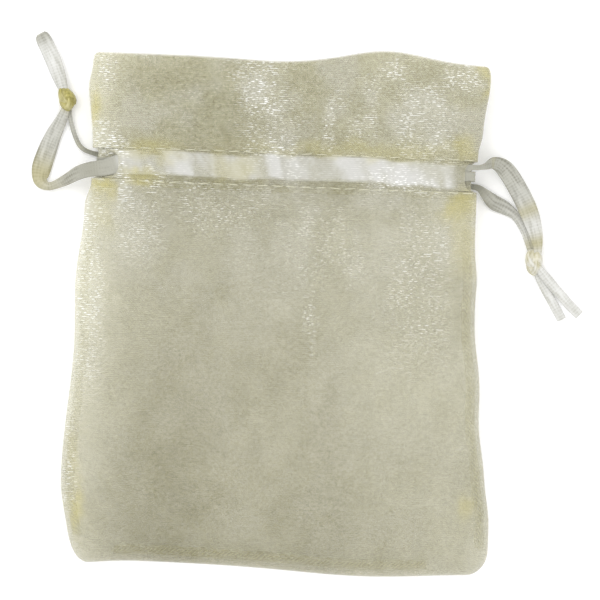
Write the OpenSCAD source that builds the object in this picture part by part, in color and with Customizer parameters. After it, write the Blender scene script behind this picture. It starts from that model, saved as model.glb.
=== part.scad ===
// Drawstring gift pouch of sheer cloth, lying on its back panel.
// X runs across the pouch, Y from the bottom seam to the mouth, Z up from the table.
// The origin is under the middle of the cloth, at table height.

/* [Pouch] */
// Width across the neck, seam to seam
neck_w = 66.4; // [54:0.2:90]
// Width across the mouth, seam to seam
mouth_w = 68.8; // [56:0.2:92]
// Width across the widest place, above the bottom corners
base_w = 73.2; // [60:0.2:100]
// Height from the bottom seam to the crest of the top fold
pouch_h = 90; // [74:1:130]
// Height that the closed neck of the front stands above the table
neck_loft = 7.4; // [6.4:0.1:10]
// Height that the belly of the front stands above the table
belly_loft = 8.2; // [7:0.1:14]
// Height that the front stands above the table at the mouth
mouth_loft = 7.8; // [6.6:0.1:12]
// Height of the side seams above the table, from the neck up
neck_seam_z = 3.4; // [2.6:0.1:4.4]
// Height of the side seams above the table, at the bottom
base_seam_z = 1.2; // [0.8:0.1:2.4]

/* [Cloth] */
// Thickness of the cloth
cloth_t = 0.15; // [0.1:0.01:0.25]
// Space between two layers that lie on each other
layer_gap = 0.04; // [0.02:0.01:0.1]
// Depth that the seam allowance is turned in
allowance_w = 1.6; // [1:0.1:2.6]
// Thickness of the overlocked allowance
allowance_t = 0.24; // [0.16:0.02:0.4]
// Rise of the swell in the top fold
swell_h = 2.0; // [0:0.1:3]
// Fall of the droop in the bottom seam
droop_h = 0.7; // [0:0.1:2]

/* [Casing] */
// Height of the heading above the casing, without the swell
heading_h = 16.2; // [8:0.1:24]
// Height of the casing between its two rows of stitches
casing_h = 5.7; // [5.1:0.1:9]
// Clear depth of the casing, which holds two layers of ribbon
casing_gap = 0.9; // [0.8:0.05:1.4]
// Cloth below the lower row of stitches, on the turned-in hem
hem_below = 1.0; // [0.6:0.1:3]
// Depth of the opening in the left end of the casing
left_slit = 4.6; // [1.5:0.1:6]
// Depth of the opening in the right end of the casing
right_slit = 2.2; // [1.5:0.1:6]

/* [Stitches] */
// Length of one stitch
stitch_len = 1.9; // [1.2:0.1:3]
// Space between two stitches
stitch_space = 0.5; // [0.3:0.1:1]
// Width of the thread
thread_w = 0.24; // [0.12:0.02:0.4]
// Thickness of the thread where it lies on the cloth
thread_t = 0.12; // [0.08:0.01:0.2]

/* [Ribbon] */
// Width of the satin ribbon
ribbon_w = 3.4; // [2.4:0.1:3.6]
// Thickness of the satin ribbon
ribbon_t = 0.2; // [0.12:0.02:0.26]
// Radius of the knots
knot_r = 1.15; // [0.9:0.05:1.6]

/* [Hidden] */

cloth_color = [0.87, 0.85, 0.71];
seam_color = [0.88, 0.84, 0.58];
thread_color = [0.95, 0.94, 0.86];
ribbon_color = [0.93, 0.93, 0.89];
knot_color = [0.86, 0.82, 0.55];

// Heights along Y
crest_y = pouch_h / 2;
top_y = crest_y - swell_h;
lowest_y = -pouch_h / 2;
bottom_y = lowest_y + droop_h;
casing_top = top_y - heading_h;
casing_low = casing_top - casing_h;
casing_y = (casing_top + casing_low) / 2;
hem_y = casing_low - hem_below;

// The sides are widest this far above the bottom seam, and narrowest this far below the casing
widest_rise = 13;
waist_drop = 9;
// The swell and the droop lie right of the middle
swell_x = 17;
swell_spread = 9;
droop_spread = 14;
droop_reach = 20;
// The bottom corners: how far each is cut in, and how high up it starts
left_cut = 5.2;
left_cut_h = 12.5;
right_cut = 3.6;
right_cut_h = 4.2;
top_cut = 0.9;
top_cut_h = 1.4;

// The front closes on the bottom seam over this length, to a lip of this height
closing_h = 15;
lip_h = 0.42;
// How square the cross-section is: an ellipse is 2
neck_square = 14;
base_square = 2.6;
// Where the two panels meet, each stops this far from the seam's middle
seam_gap = 0.03;
// Stations across a panel, from its middle to one side
half_stations = 10;

function clamp01(t) = max(0, min(1, t));
function ease(t) = let (c = clamp01(t)) c * c * (3 - 2 * c);
function mix(a, b, t) = a + (b - a) * t;
function arc_cut(t) = 1 - sqrt(max(0, 1 - pow(1 - clamp01(t), 2)));

// Half the width at a height, before the corners are cut
function full_half_w(y) =
    let (
        low = mix(base_w, neck_w, ease((y - bottom_y - widest_rise) / (casing_low - waist_drop - bottom_y - widest_rise))),
        flare = ease((y - casing_top) / (heading_h - 3))
    )
    mix(low, mouth_w, flare) / 2;

// Half the width on one side, with its corners
function half_w(y, side) =
    let (
        cut = side < 0 ? left_cut : right_cut,
        cut_h = side < 0 ? left_cut_h : right_cut_h
    )
    full_half_w(y) - cut * arc_cut((y - bottom_y) / cut_h) - top_cut * arc_cut((top_y - y) / top_cut_h);

// A height moved by the swell of the top fold and the droop of the bottom seam
function wavy_y(y, x) =
    let (
        swell = swell_h * exp(-pow((x - swell_x) / swell_spread, 2)),
        droop = droop_h * exp(-pow((x - swell_x) / droop_spread, 2))
    )
    y + swell * ease((y - casing_top) / heading_h) - droop * ease((bottom_y + droop_reach - y) / droop_reach);

// Height of the side seam and of the front above the table
function seam_z(y) = mix(base_seam_z, neck_seam_z, ease((y - bottom_y) / (casing_low - bottom_y)));
function crown_z(y) =
    let (
        up = sqrt(max(0, 1 - pow(1 - clamp01((y - bottom_y) / closing_h), 2))),
        body = mix(belly_loft, neck_loft, ease((y + crest_y * 0.4) / (casing_low + crest_y * 0.4))),
        open = mix(body, mouth_loft, ease((y - casing_top) / heading_h))
    )
    seam_z(y) + mix(lip_h, open - seam_z(y), up);
function squareness(y) = mix(base_square, neck_square, ease((y - bottom_y - closing_h) / (casing_low - 6 - bottom_y - closing_h)));
function profile(s, n) = pow(max(0, 1 - pow(abs(s), n)), 1 / n);

// A point of a panel: s runs from -1 to 1 across, depth goes in from the outer face.
// up is 1 for the front and -1 for the back; slit pulls an edge in by that length.
function on_panel(s, y, depth, up, slit) =
    let (
        half = half_w(y, s) - depth,
        pulled = slit ? s * (half - (s < 0 ? left_slit : right_slit)) / half : s,
        x = half * pulled,
        rise = up > 0 ? crown_z(y) - seam_z(y) : seam_z(y),
        z = seam_z(y) + up * (seam_gap + (rise - seam_gap - depth) * profile(pulled, squareness(y)))
    )
    [x, wavy_y(y, x), z];

// Stations across, closer together towards the sides
stations = [
    for (j = [-half_stations:half_stations])
        let (p = abs(j) / half_stations) sign(j) * (1 - pow(1 - p, 2.6))
];

// Depth of the facing's near side: the casing stands open between its rows of stitches
function gap_at(y) =
    let (t = clamp01((y - casing_low) / casing_h))
    mix(layer_gap, casing_gap, ease(min(t, 1 - t) * casing_h / shoulder));
shoulder = 0.8;
slit_margin = 0.35;

// Rows of the outer layer and of the turned-in hem, as heights
closing_rows = [for (r = [0, 0.25, 0.7, 1.4, 2.4, 3.8, 6, 9, 13]) bottom_y + r];
body_steps = 5;
body_rows = [
    for (i = [1:body_steps]) mix(bottom_y + 13, hem_y, i / (body_steps + 1))
];
low_casing_rows = [hem_y, casing_low, casing_low + slit_margin, casing_low + shoulder];
high_casing_rows = [casing_y, casing_top - shoulder, casing_top - slit_margin, casing_top];
heading_rows = [for (r = [0.25, 0.5, 0.75]) casing_top + heading_h * r];
fold_rows = [for (r = [1.4, 0.6, 0.25]) top_y - r];
outer_rows = concat(closing_rows, body_rows, low_casing_rows, high_casing_rows, heading_rows, fold_rows);
hem_rows = concat(low_casing_rows, high_casing_rows, heading_rows, fold_rows);

function in_slit(y) = y > casing_low + slit_margin / 2 && y < casing_top - slit_margin / 2;
function reversed(rows) = [for (i = [len(rows) - 1:-1:0]) rows[i]];
function row(y, depth, up, slit) = [for (s = stations) on_panel(s, y, depth, up, slit)];

// The outer and inner face of a panel, from the bottom seam over the top fold to the hem's edge
function outer_face(up) = concat(
    [for (y = outer_rows) row(y, 0, up, in_slit(y))],
    [row(top_y, 0, up, false), row(top_y, 2 * cloth_t + layer_gap, up, false)],
    [for (y = reversed(hem_rows)) row(y, 2 * cloth_t + gap_at(y), up, false)]
);
function inner_face(up) = concat(
    [for (y = outer_rows) row(y, cloth_t, up, in_slit(y))],
    [row(top_y - cloth_t, cloth_t, up, false), row(top_y - cloth_t, cloth_t + layer_gap, up, false)],
    [for (y = reversed(hem_rows)) row(y, cloth_t + gap_at(y), up, false)]
);

// A closed solid between two grids of points of the same size
module between(near, far, flip = false) {
    rows = len(near);
    cols = len(near[0]);
    points = concat([for (r = near) for (p = r) p], [for (r = far) for (p = r) p]);
    back = rows * cols;
    function quad(a, b, c, d) = flip ? [[a, c, b], [a, d, c]] : [[a, b, c], [a, c, d]];
    near_quads = [
        for (i = [0:rows - 2]) for (j = [0:cols - 2])
            each quad(i * cols + j, (i + 1) * cols + j, (i + 1) * cols + j + 1, i * cols + j + 1)
    ];
    far_quads = [
        for (i = [0:rows - 2]) for (j = [0:cols - 2])
            each quad(back + i * cols + j, back + i * cols + j + 1, back + (i + 1) * cols + j + 1, back + (i + 1) * cols + j)
    ];
    side_quads = [
        for (i = [0:rows - 2]) each concat(
            quad(i * cols, back + i * cols, back + (i + 1) * cols, (i + 1) * cols),
            quad((i + 1) * cols + cols - 1, back + (i + 1) * cols + cols - 1, back + i * cols + cols - 1, i * cols + cols - 1)
        )
    ];
    last = (rows - 1) * cols;
    end_quads = [
        for (j = [0:cols - 2]) each concat(
            quad(j + 1, back + j + 1, back + j, j),
            quad(last + j, back + last + j, back + last + j + 1, last + j + 1)
        )
    ];
    polyhedron(points, concat(near_quads, far_quads, side_quads, end_quads), convexity = 8);
}

module front_panel() {
    color(cloth_color)
        between(outer_face(1), inner_face(1));
}

module back_panel() {
    color(cloth_color)
        between(outer_face(-1), inner_face(-1), flip = true);
}

// The overlocked allowance of a side seam, which points into the pouch
seam_inset = 0.75;
module side_seam(side, from_y, to_y, inset, steps) {
    ys = [for (i = [0:steps]) mix(from_y, to_y, i / steps)];
    function edge(y, reach, up) =
        let (x = side * (half_w(y, side) - inset - reach))
        [x, wavy_y(y, x), seam_z(y) + up * allowance_t / 2];
    top = [for (y = ys) [edge(y, 0, 1), edge(y, allowance_w, 1)]];
    under = [for (y = ys) [edge(y, 0, -1), edge(y, allowance_w, -1)]];
    color(seam_color)
        between(top, under, flip = side > 0);
}

body_seam_low = bottom_y + 4.6;
heading_inset = 2 * cloth_t + layer_gap + 0.3;
module left_side_seam() {
    side_seam(-1, body_seam_low, hem_y - 0.4, seam_inset, 14);
}
module right_side_seam() {
    side_seam(1, body_seam_low, hem_y - 0.4, seam_inset, 14);
}
module left_heading_seam() {
    side_seam(-1, casing_top + 1, top_y - 1.6, heading_inset, 4);
}
module right_heading_seam() {
    side_seam(1, casing_top + 1, top_y - 1.6, heading_inset, 4);
}

// The overlocked allowance of the bottom seam
bottom_inset = 1.2;
bottom_seam_reach = 27;
module bottom_seam() {
    steps = 16;
    span = bottom_seam_reach * base_w / 73.2;
    xs = [for (i = [0:steps]) mix(-span, span, i / steps)];
    function edge(x, reach, up) =
        let (y = bottom_y + bottom_inset + reach)
        [x, wavy_y(y, x), seam_z(bottom_y) + up * allowance_t / 2];
    top = [for (x = xs) [edge(x, 0, 1), edge(x, allowance_w, 1)]];
    under = [for (x = xs) [edge(x, 0, -1), edge(x, allowance_w, -1)]];
    color(seam_color)
        between(top, under, flip = true);
}

// A row of stitches along the casing, lying on the face at height z
thread_clear = 0.04;
stitch_margin = 3.5;
module stitch_row(y, z) {
    pitch = stitch_len + stitch_space;
    half_count = floor((neck_w / 2 - stitch_margin) / pitch - 0.5);
    color(thread_color)
        for (i = [-half_count:half_count])
            translate([i * pitch - stitch_len / 2, y - thread_w / 2, z])
                cube([stitch_len, thread_w, thread_t]);
}

module front_upper_stitching() {
    stitch_row(casing_top, crown_z(casing_top) + thread_clear);
}
module front_lower_stitching() {
    stitch_row(casing_low, crown_z(casing_low) + thread_clear);
}
// The back's rows lie on the facing, inside the mouth
inside_back_z = 2 * cloth_t + layer_gap + thread_clear;
module back_upper_stitching() {
    stitch_row(casing_top, inside_back_z + hem_rise);
}
module back_lower_stitching() {
    stitch_row(casing_low, inside_back_z + hem_rise);
}
// The facing rises towards the open casing under the thread's far edge
hem_rise = (gap_at(casing_low + slit_margin) - layer_gap) * thread_w / 2 / slit_margin;

// Depths of the two ribbons below the outer face of the casing, with the same space over,
// between and under them. The left ribbon is the outer one.
ribbon_space = (casing_gap - 2 * ribbon_t) / 3;
outer_depth = cloth_t + ribbon_space + ribbon_t / 2;
inner_depth = outer_depth + ribbon_space + ribbon_t;
neck_top = crown_z(casing_y);
end_x = neck_w / 2;

// The route of each ribbon, as [x, y, z, width, direction of the width in plan]. Places outside
// the casing are given from the end of the casing's middle, where the ribbon leaves it.
left_loop = [
    [-4.9, 9.6, 1.3, 1.3, 162], [-5.6, 7.4, 0.9, 2.0, 158], [-7.0, 4.4, 0.5, 2.8, 157],
    [-8.3, 1.2, 0.4, 2.9, 160], [-9.1, -1.4, 0.4, 2.6, 172], [-9.0, -3.6, 0.5, 1.9, 210],
    [-7.4, -4.3, 0.8, 1.4, 273], [-5.0, -3.4, 1.8, 1.8, 296], [-2.4, -1.9, 4.4, 2.4, 290],
    [-0.3, -1.2, 6.3, 2.6, 280]
];
left_return = [
    [0.1, 1.7, 0.6, 0.8, 262], [-1.4, 2.2, 0.8, 0.8, 251], [-2.5, 3.2, 0.7, 0.8, 214],
    [-3.5, 5.4, 0.5, 0.8, 200], [-4.1, 7.6, 0.5, 0.8, 192], [-4.4, 9.5, 0.5, 0.8, 189]
];
right_loop = [
    [11.0, -12.2, 1.7, 1.4, 190], [10.5, -9.2, 1.3, 2.4, 195], [9.2, -5.6, 1.3, 3.2, 204],
    [7.2, -1.8, 1.5, 3.3, 211], [4.8, 1.6, 1.9, 3.1, 224], [2.8, 2.6, 2.9, 2.2, 262],
    [1.4, 2.0, 4.4, 1.2, 280], [0.2, 1.7, 5.7, 0.9, 273]
];
right_return = [
    [0.3, -1.75, 0.9, 1.1, 262], [1.6, -2.8, 1.1, 1.8, 240], [3.1, -4.1, 0.7, 2.6, 241],
    [5.0, -5.0, 0.4, 2.4, 242], [6.9, -6.3, 0.3, 1.6, 223], [8.6, -8.9, 0.3, 1.4, 207],
    [9.8, -12.0, 0.6, 1.3, 201]
];

function from_end(side, p) = [side * end_x + p[0], casing_y + p[1], p[2], p[3], p[4]];
function along(side, points) = [for (p = points) from_end(side, p)];

// The fold of a ribbon round the far side of the pouch, narrowed between the other ribbon's legs
turn_w = 1.7;
turn_insets = [1.5, 0.5, 0.1];
across_run = 270;
function turn(side, y, depth) =
    let (
        front = [for (r = turn_insets) on_panel(side * (1 - r / end_x), y, depth, 1, false)],
        back = [for (r = reversed(turn_insets)) on_panel(side * (1 - r / end_x), y, depth, -1, false)],
        wall = [side * (end_x - depth), y, seam_z(y)]
    )
    [for (p = concat(front, [wall], back)) [p[0], p[1], p[2], turn_w, across_run]];

// A straight leg in the casing, at full width
run_x = end_x - 5.5;
function run(from_x, to_x, z) = [
    for (t = [0, 0.1, 0.3, 0.5, 0.7, 0.9, 1]) [mix(from_x, to_x, t), casing_y, z, ribbon_w, across_run]
];

left_route = concat(
    along(-1, left_loop),
    [[-end_x + 2.2, casing_y - 0.8, neck_top - outer_depth + 0.05, 2.8, 272]],
    run(-run_x, run_x, neck_top - outer_depth),
    turn(1, casing_y + 0.1, outer_depth),
    run(run_x, -run_x, outer_depth),
    [[-end_x + 2.4, casing_y + 1.2, outer_depth, 1.4, 262]],
    along(-1, left_return)
);
right_route = concat(
    along(1, right_loop),
    [[end_x - 1.6, casing_y + 1.5, neck_top - inner_depth - 0.05, 1.2, across_run]],
    run(run_x, -run_x, neck_top - inner_depth),
    turn(-1, casing_y + 0.1, inner_depth),
    run(-run_x, run_x, inner_depth),
    [[end_x - 1.8, casing_y - 1.4, inner_depth, 1.2, 265]],
    along(1, right_return)
);

// A flat ribbon swept along a route, with chamfered edges
route_steps = 2;
function smooth_point(a, b, c, d, t) =
    0.5 * (2 * b + (c - a) * t + (2 * a - 5 * b + 4 * c - d) * t * t + (3 * b - a - 3 * c + d) * t * t * t);
function smooth_route(p) = [
    for (i = [0:len(p) - 2]) for (k = [0:route_steps - 1 + (i == len(p) - 2 ? 1 : 0)])
        smooth_point(p[max(0, i - 1)], p[i], p[i + 1], p[min(len(p) - 1, i + 2)], k / route_steps)
];
function place(p) = [p[0], p[1], p[2]];
function unit(v) = v / norm(v);
function heading_at(p, i) = unit(place(p[min(len(p) - 1, i + 1)]) - place(p[max(0, i - 1)]));
function across_at(p, i) =
    let (h = heading_at(p, i), w = [cos(p[i][4]), sin(p[i][4]), 0])
    unit(w - (w * h) * h);
chamfer = 0.06;
function section(at, across, h, width) =
    let (up = cross(h, across), a = width / 2, b = ribbon_t / 2)
    [
        for (q = [
            [a, -b + chamfer], [a, b - chamfer], [a - chamfer, b], [-a + chamfer, b],
            [-a, b - chamfer], [-a, -b + chamfer], [-a + chamfer, -b], [a - chamfer, -b]
        ]) at + q[0] * across + q[1] * up
    ];

module ribbon(route) {
    p = smooth_route(route);
    rings = [for (i = [0:len(p) - 1]) section(place(p[i]), across_at(p, i), heading_at(p, i), p[i][3])];
    sides = 8;
    n = len(rings);
    walls = [
        for (i = [0:n - 2]) for (j = [0:sides - 1])
            let (a = i * sides + j, b = i * sides + (j + 1) % sides)
            each [[a, b + sides, b], [a, a + sides, b + sides]]
    ];
    ends = concat(
        [for (j = [1:sides - 2]) [0, j, j + 1]],
        [for (j = [1:sides - 2]) (n - 1) * sides * [1, 1, 1] + [0, j + 1, j]]
    );
    color(ribbon_color)
        polyhedron([for (r = rings) for (q = r) q], concat(walls, ends), convexity = 10);
}

module left_ribbon() {
    ribbon(left_route);
}
module right_ribbon() {
    ribbon(right_route);
}

// A knot is a lump that leans along the ribbon, with a nub at one side
module knot(at, lean, nub) {
    color(knot_color)
        translate(at)
            hull() {
                translate(-lean) sphere(r = knot_r, $fn = 24);
                translate(lean) sphere(r = knot_r * 0.9, $fn = 24);
                translate(nub) sphere(r = knot_r * 0.75, $fn = 24);
            }
}

left_knot_at = [-end_x - 5.0, casing_y + 10.9, knot_r + 0.05];
right_knot_at = [end_x + 10.6, casing_y - 14.2, knot_r + 0.05];
module left_knot() {
    knot(left_knot_at, [-0.35, 1.0, 0], [1.0, -0.5, 0]);
}
module right_knot() {
    knot(right_knot_at, [0.25, -1.3, 0], [-0.9, -1.4, -0.2]);
}

// The tails are the ribbon's two ends beyond each knot
left_tail_upper_route = [
    [-5.4, 12.4, 1.5, 1.5, 20], [-6.2, 14.6, 1.4, 2.2, 22], [-7.4, 17.6, 1.2, 2.6, 23],
    [-8.6, 20.2, 1.1, 2.6, 24], [-9.3, 21.6, 1.2, 2.4, 24]
];
left_tail_lower_route = [
    [-5.5, 12.4, 0.9, 1.5, 20], [-6.4, 14.6, 0.7, 2.2, 22], [-7.6, 17.6, 0.4, 2.6, 23],
    [-8.6, 20.0, 0.3, 2.6, 24], [-9.2, 21.2, 0.3, 2.4, 24]
];
right_tail_upper_route = [
    [11.4, -15.4, 1.5, 1.4, 220], [12.8, -17.0, 1.2, 1.7, 222], [14.8, -19.2, 0.8, 1.7, 223],
    [16.9, -21.4, 0.5, 1.7, 223], [18.6, -23.0, 0.4, 1.7, 224]
];
right_tail_lower_route = [
    [11.0, -15.7, 0.9, 1.4, 207], [12.0, -17.8, 0.5, 1.6, 209], [13.4, -20.2, 0.3, 1.6, 210],
    [14.6, -22.2, 0.3, 1.6, 210], [15.6, -23.9, 0.3, 1.6, 210]
];
module left_tail_upper() {
    ribbon(along(-1, left_tail_upper_route));
}
module left_tail_lower() {
    ribbon(along(-1, left_tail_lower_route));
}
module right_tail_upper() {
    ribbon(along(1, right_tail_upper_route));
}
module right_tail_lower() {
    ribbon(along(1, right_tail_lower_route));
}

front_panel();
back_panel();
left_side_seam();
right_side_seam();
bottom_seam();
left_heading_seam();
right_heading_seam();
front_upper_stitching();
front_lower_stitching();
back_upper_stitching();
back_lower_stitching();
left_ribbon();
left_knot();
left_tail_upper();
left_tail_lower();
right_ribbon();
right_knot();
right_tail_upper();
right_tail_lower();
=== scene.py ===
"""Drawstring gift pouch of sheer cream cloth, with two satin drawstrings.

The pouch lies on its back panel. X runs across it to the right, Y from the bottom seam to the
mouth, Z up from the table. Shapes are worked out in millimetres and made in metres.
"""
from __future__ import annotations

import logging
import math
from dataclasses import dataclass
from enum import Enum

import bmesh
import bpy
import numpy as np
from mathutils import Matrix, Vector


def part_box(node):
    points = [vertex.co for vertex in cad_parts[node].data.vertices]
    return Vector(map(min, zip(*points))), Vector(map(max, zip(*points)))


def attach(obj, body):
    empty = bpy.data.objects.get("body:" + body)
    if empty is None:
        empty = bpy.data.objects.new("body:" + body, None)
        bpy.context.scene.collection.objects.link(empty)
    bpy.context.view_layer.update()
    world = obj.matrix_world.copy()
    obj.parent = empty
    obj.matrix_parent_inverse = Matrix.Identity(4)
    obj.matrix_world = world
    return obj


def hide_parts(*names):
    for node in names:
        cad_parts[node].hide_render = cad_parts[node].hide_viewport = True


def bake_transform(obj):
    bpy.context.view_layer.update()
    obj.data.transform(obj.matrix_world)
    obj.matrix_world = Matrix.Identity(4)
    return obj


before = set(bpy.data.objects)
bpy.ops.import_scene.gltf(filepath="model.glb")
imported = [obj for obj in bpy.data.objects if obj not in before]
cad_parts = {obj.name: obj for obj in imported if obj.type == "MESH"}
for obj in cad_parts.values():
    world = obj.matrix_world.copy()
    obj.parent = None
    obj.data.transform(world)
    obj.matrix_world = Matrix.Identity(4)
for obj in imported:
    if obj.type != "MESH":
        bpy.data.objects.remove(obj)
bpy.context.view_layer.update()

log = logging.getLogger("pouch")
MM = 0.001
PI = math.pi
Array = np.ndarray
Socket = bpy.types.NodeSocket


class Side(Enum):
    """The two sides of the pouch, as seen with its front up."""

    LEFT = -1
    RIGHT = 1


class Face(Enum):
    """The two panels of the pouch."""

    BACK = -1
    FRONT = 1


def ease(t: Array | float) -> Array | float:
    """Rise smoothly from 0 to 1 as t does.

    Args:
        t: Where along the rise, clamped to 0..1.

    Returns:
        The eased share.
    """
    c = np.clip(t, 0.0, 1.0)
    return c * c * (3 - 2 * c)


def mix(a: Array | float, b: Array | float, t: Array | float) -> Array | float:
    """Go from a to b by the share t."""
    return a + (b - a) * t


def bell(place: Array | float, middle: float, reach: float) -> Array | float:
    """A smooth swell, 1 in its middle and near 0 at twice its reach."""
    return np.exp(-(((place - middle) / reach) ** 2))


def arc_rise(t: Array | float) -> Array | float:
    """Height of a quarter circle, 0 at t = 0 and 1 from t = 1."""
    return np.sqrt(np.maximum(0, 1 - (1 - np.clip(t, 0.0, 1.0)) ** 2))


def arc_cut(t: Array | float) -> Array | float:
    """Depth of a rounded corner, 1 at t = 0 and 0 from t = 1."""
    return 1 - arc_rise(t)


@dataclass(frozen=True)
class Wave:
    """A single smooth swell along one axis, in millimetres."""

    height: float
    middle: float
    reach: float

    def at(self, place: Array | float) -> Array | float:
        """How high the swell is at a place."""
        return self.height * bell(place, self.middle, self.reach)


@dataclass(frozen=True)
class Ripple:
    """A long, low ripple of the cloth. Its crests may bend along the pouch."""

    height: float
    across: float
    along: float
    phase: float
    bend: float = 0.0
    bend_along: float = 0.0

    def at(self, x: Array, y: Array) -> Array:
        """How high the ripple is at each place."""
        bent = self.bend * np.sin(self.bend_along * y)
        return self.height * np.sin(self.across * x + self.along * y + self.phase + bent)


# --------------------------------------------------------------------------- shape of the pouch


@dataclass(frozen=True)
class PouchShape:
    """The pouch's surface by formula, in millimetres."""

    neck_w: float = 66.4
    mouth_w: float = 68.8
    base_w: float = 73.2
    pouch_h: float = 90.0
    neck_loft: float = 7.4
    belly_loft: float = 8.2
    mouth_loft: float = 7.8
    neck_seam_z: float = 3.4
    base_seam_z: float = 1.2
    cloth_t: float = 0.15
    layer_gap: float = 0.04
    swell_h: float = 2.0
    droop_h: float = 0.7
    heading_h: float = 16.2
    casing_h: float = 5.7
    casing_gap: float = 0.9
    hem_below: float = 1.0
    left_slit: float = 4.6
    right_slit: float = 2.2
    ribbon_t: float = 0.2
    widest_rise: float = 13.0
    waist_drop: float = 9.0
    swell_x: float = 17.0
    swell_spread: float = 9.0
    droop_spread: float = 14.0
    droop_reach: float = 20.0
    left_corner: tuple[float, float] = (5.2, 12.5)
    right_corner: tuple[float, float] = (3.6, 4.2)
    top_cut: float = 0.9
    top_cut_h: float = 1.4
    closing_h: float = 15.0
    lip_h: float = 0.42
    neck_square: float = 14.0
    base_square: float = 2.6
    seam_gap: float = 0.03
    shoulder: float = 0.8
    slit_margin: float = 0.25
    stitch_pitch: float = 2.4
    samples: int = 401
    edge_crowding: float = 2.6
    edge_fade: int = 14
    top_dip: Wave = Wave(0.45, -2.0, 9.0)
    droops: tuple[Wave, ...] = (Wave(0.6, -32.5, 5.0), Wave(0.55, 12.0, 20.0))
    left_edge: tuple[Wave, ...] = (
        Wave(1.75, 5.0, 10.5), Wave(0.5, 18.0, 4.0), Wave(-0.6, -37.5, 4.5),
    )
    right_edge: tuple[Wave, ...] = (
        Wave(0.45, 6.5, 3.5), Wave(-0.35, -4.0, 5.0), Wave(-0.8, -19.5, 6.0),
    )
    ripples: tuple[Ripple, ...] = (
        Ripple(0.34, 0.17, 0.06, 1.3),
        Ripple(0.26, 0.10, -0.21, 0.7),
        Ripple(0.18, 0.36, 0.12, 2.1, 0.9, 0.09),
        Ripple(0.12, 0.58, -0.16, 0.4),
        Ripple(0.07, 0.25, 0.72, 1.1),
    )
    mouth_tuck: float = 0.75
    pleat_h: float = 0.13
    pleat_reach: float = 5.0
    pucker_h: float = 0.07
    pucker_reach: float = 0.8
    back_share: float = 0.3

    @property
    def top_y(self) -> float:
        """Height of the top fold, without its swell."""
        return self.pouch_h / 2 - self.swell_h

    @property
    def bottom_y(self) -> float:
        """Height of the bottom seam, without its droop."""
        return -self.pouch_h / 2 + self.droop_h

    @property
    def casing_top(self) -> float:
        """Height of the upper row of stitches."""
        return self.top_y - self.heading_h

    @property
    def casing_low(self) -> float:
        """Height of the lower row of stitches."""
        return self.casing_top - self.casing_h

    @property
    def casing_y(self) -> float:
        """Height of the middle of the casing."""
        return (self.casing_top + self.casing_low) / 2

    @property
    def hem_y(self) -> float:
        """Height of the raw edge of the turned-in hem."""
        return self.casing_low - self.hem_below

    @property
    def end_x(self) -> float:
        """Half the width of the neck, where the casing ends."""
        return self.neck_w / 2

    def half_w(self, y: Array | float, side: Side) -> Array | float:
        """Half the width on one side, with its corners.

        Args:
            y: Height on the pouch.
            side: Which side.

        Returns:
            The distance from the middle to the side seam.
        """
        cut, cut_h = self.left_corner if side is Side.LEFT else self.right_corner
        rise = self.casing_low - self.waist_drop - self.bottom_y - self.widest_rise
        low = mix(self.base_w, self.neck_w, ease((y - self.bottom_y - self.widest_rise) / rise))
        flare = ease((y - self.casing_top) / (self.heading_h - 3))
        half = mix(low, self.mouth_w, flare) / 2 + self.edge_wave(y, side)
        low_corner = cut * arc_cut((y - self.bottom_y) / cut_h)
        top_corner = self.top_cut * arc_cut((self.top_y - y) / self.top_cut_h)
        return half - low_corner - top_corner

    def edge_wave(self, y: Array | float, side: Side) -> Array | float:
        """How far a side seam strays out of its plain line, away from the casing.

        Args:
            y: Height on the pouch.
            side: Which side.

        Returns:
            The distance outwards.
        """
        above = ease((y - self.casing_top - 1.5) / 3.0)
        below = ease((self.hem_y - y) / 2.5)
        if side is Side.LEFT:
            tuck = ease((y - 36.5) / 4.5)
            return below * sum(w.at(y) for w in self.left_edge) - above * self.mouth_tuck * tuck
        spread = 0.9 * ease((-28 - y) / 8)
        swell = 0.35 + 0.15 * np.sin(0.5 * y)
        return below * (sum(wave.at(y) for wave in self.right_edge) + spread) + above * swell

    def wavy_y(self, y: Array | float, x: Array | float) -> Array | float:
        """Move a height by the swell of the top fold and the droop of the bottom seam.

        Args:
            y: Height on the pouch, as if its folds were straight.
            x: Place across.

        Returns:
            The height on the real outline.
        """
        swell = self.swell_h * bell(x, self.swell_x, self.swell_spread) - self.top_dip.at(x)
        droop = self.droop_h * bell(x, self.swell_x, self.droop_spread)
        for wave in self.droops:
            droop = droop + wave.at(x)
        up = swell * ease((y - self.casing_top) / self.heading_h)
        return y + up - droop * ease((self.bottom_y + self.droop_reach - y) / self.droop_reach)

    def seam_z(self, y: Array | float) -> Array | float:
        """Height of the side seam above the table."""
        share = (y - self.bottom_y) / (self.casing_low - self.bottom_y)
        return mix(self.base_seam_z, self.neck_seam_z, ease(share))

    def crown_z(self, y: Array | float) -> Array | float:
        """Height of the front panel's middle above the table.

        Args:
            y: Height on the pouch.

        Returns:
            The height, low at the bottom seam and highest over the belly.
        """
        up = arc_rise((y - self.bottom_y) / self.closing_h)
        belly_y = -0.2 * self.pouch_h
        share = (y - belly_y) / (self.casing_low - belly_y)
        body = mix(self.belly_loft, self.neck_loft, ease(share))
        crown = mix(body, self.mouth_loft, ease((y - self.casing_top) / self.heading_h))
        return self.seam_z(y) + mix(self.lip_h, crown - self.seam_z(y), up)

    def squareness(self, y: Array | float) -> Array | float:
        """How square the cross-section is.

        Args:
            y: Height on the pouch.

        Returns:
            The power of its outline: 2 is an ellipse, and a higher one is squarer.
        """
        start = self.bottom_y + self.closing_h
        share = (y - start) / (self.casing_low - 6 - start)
        return mix(self.base_square, self.neck_square, ease(share))

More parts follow.
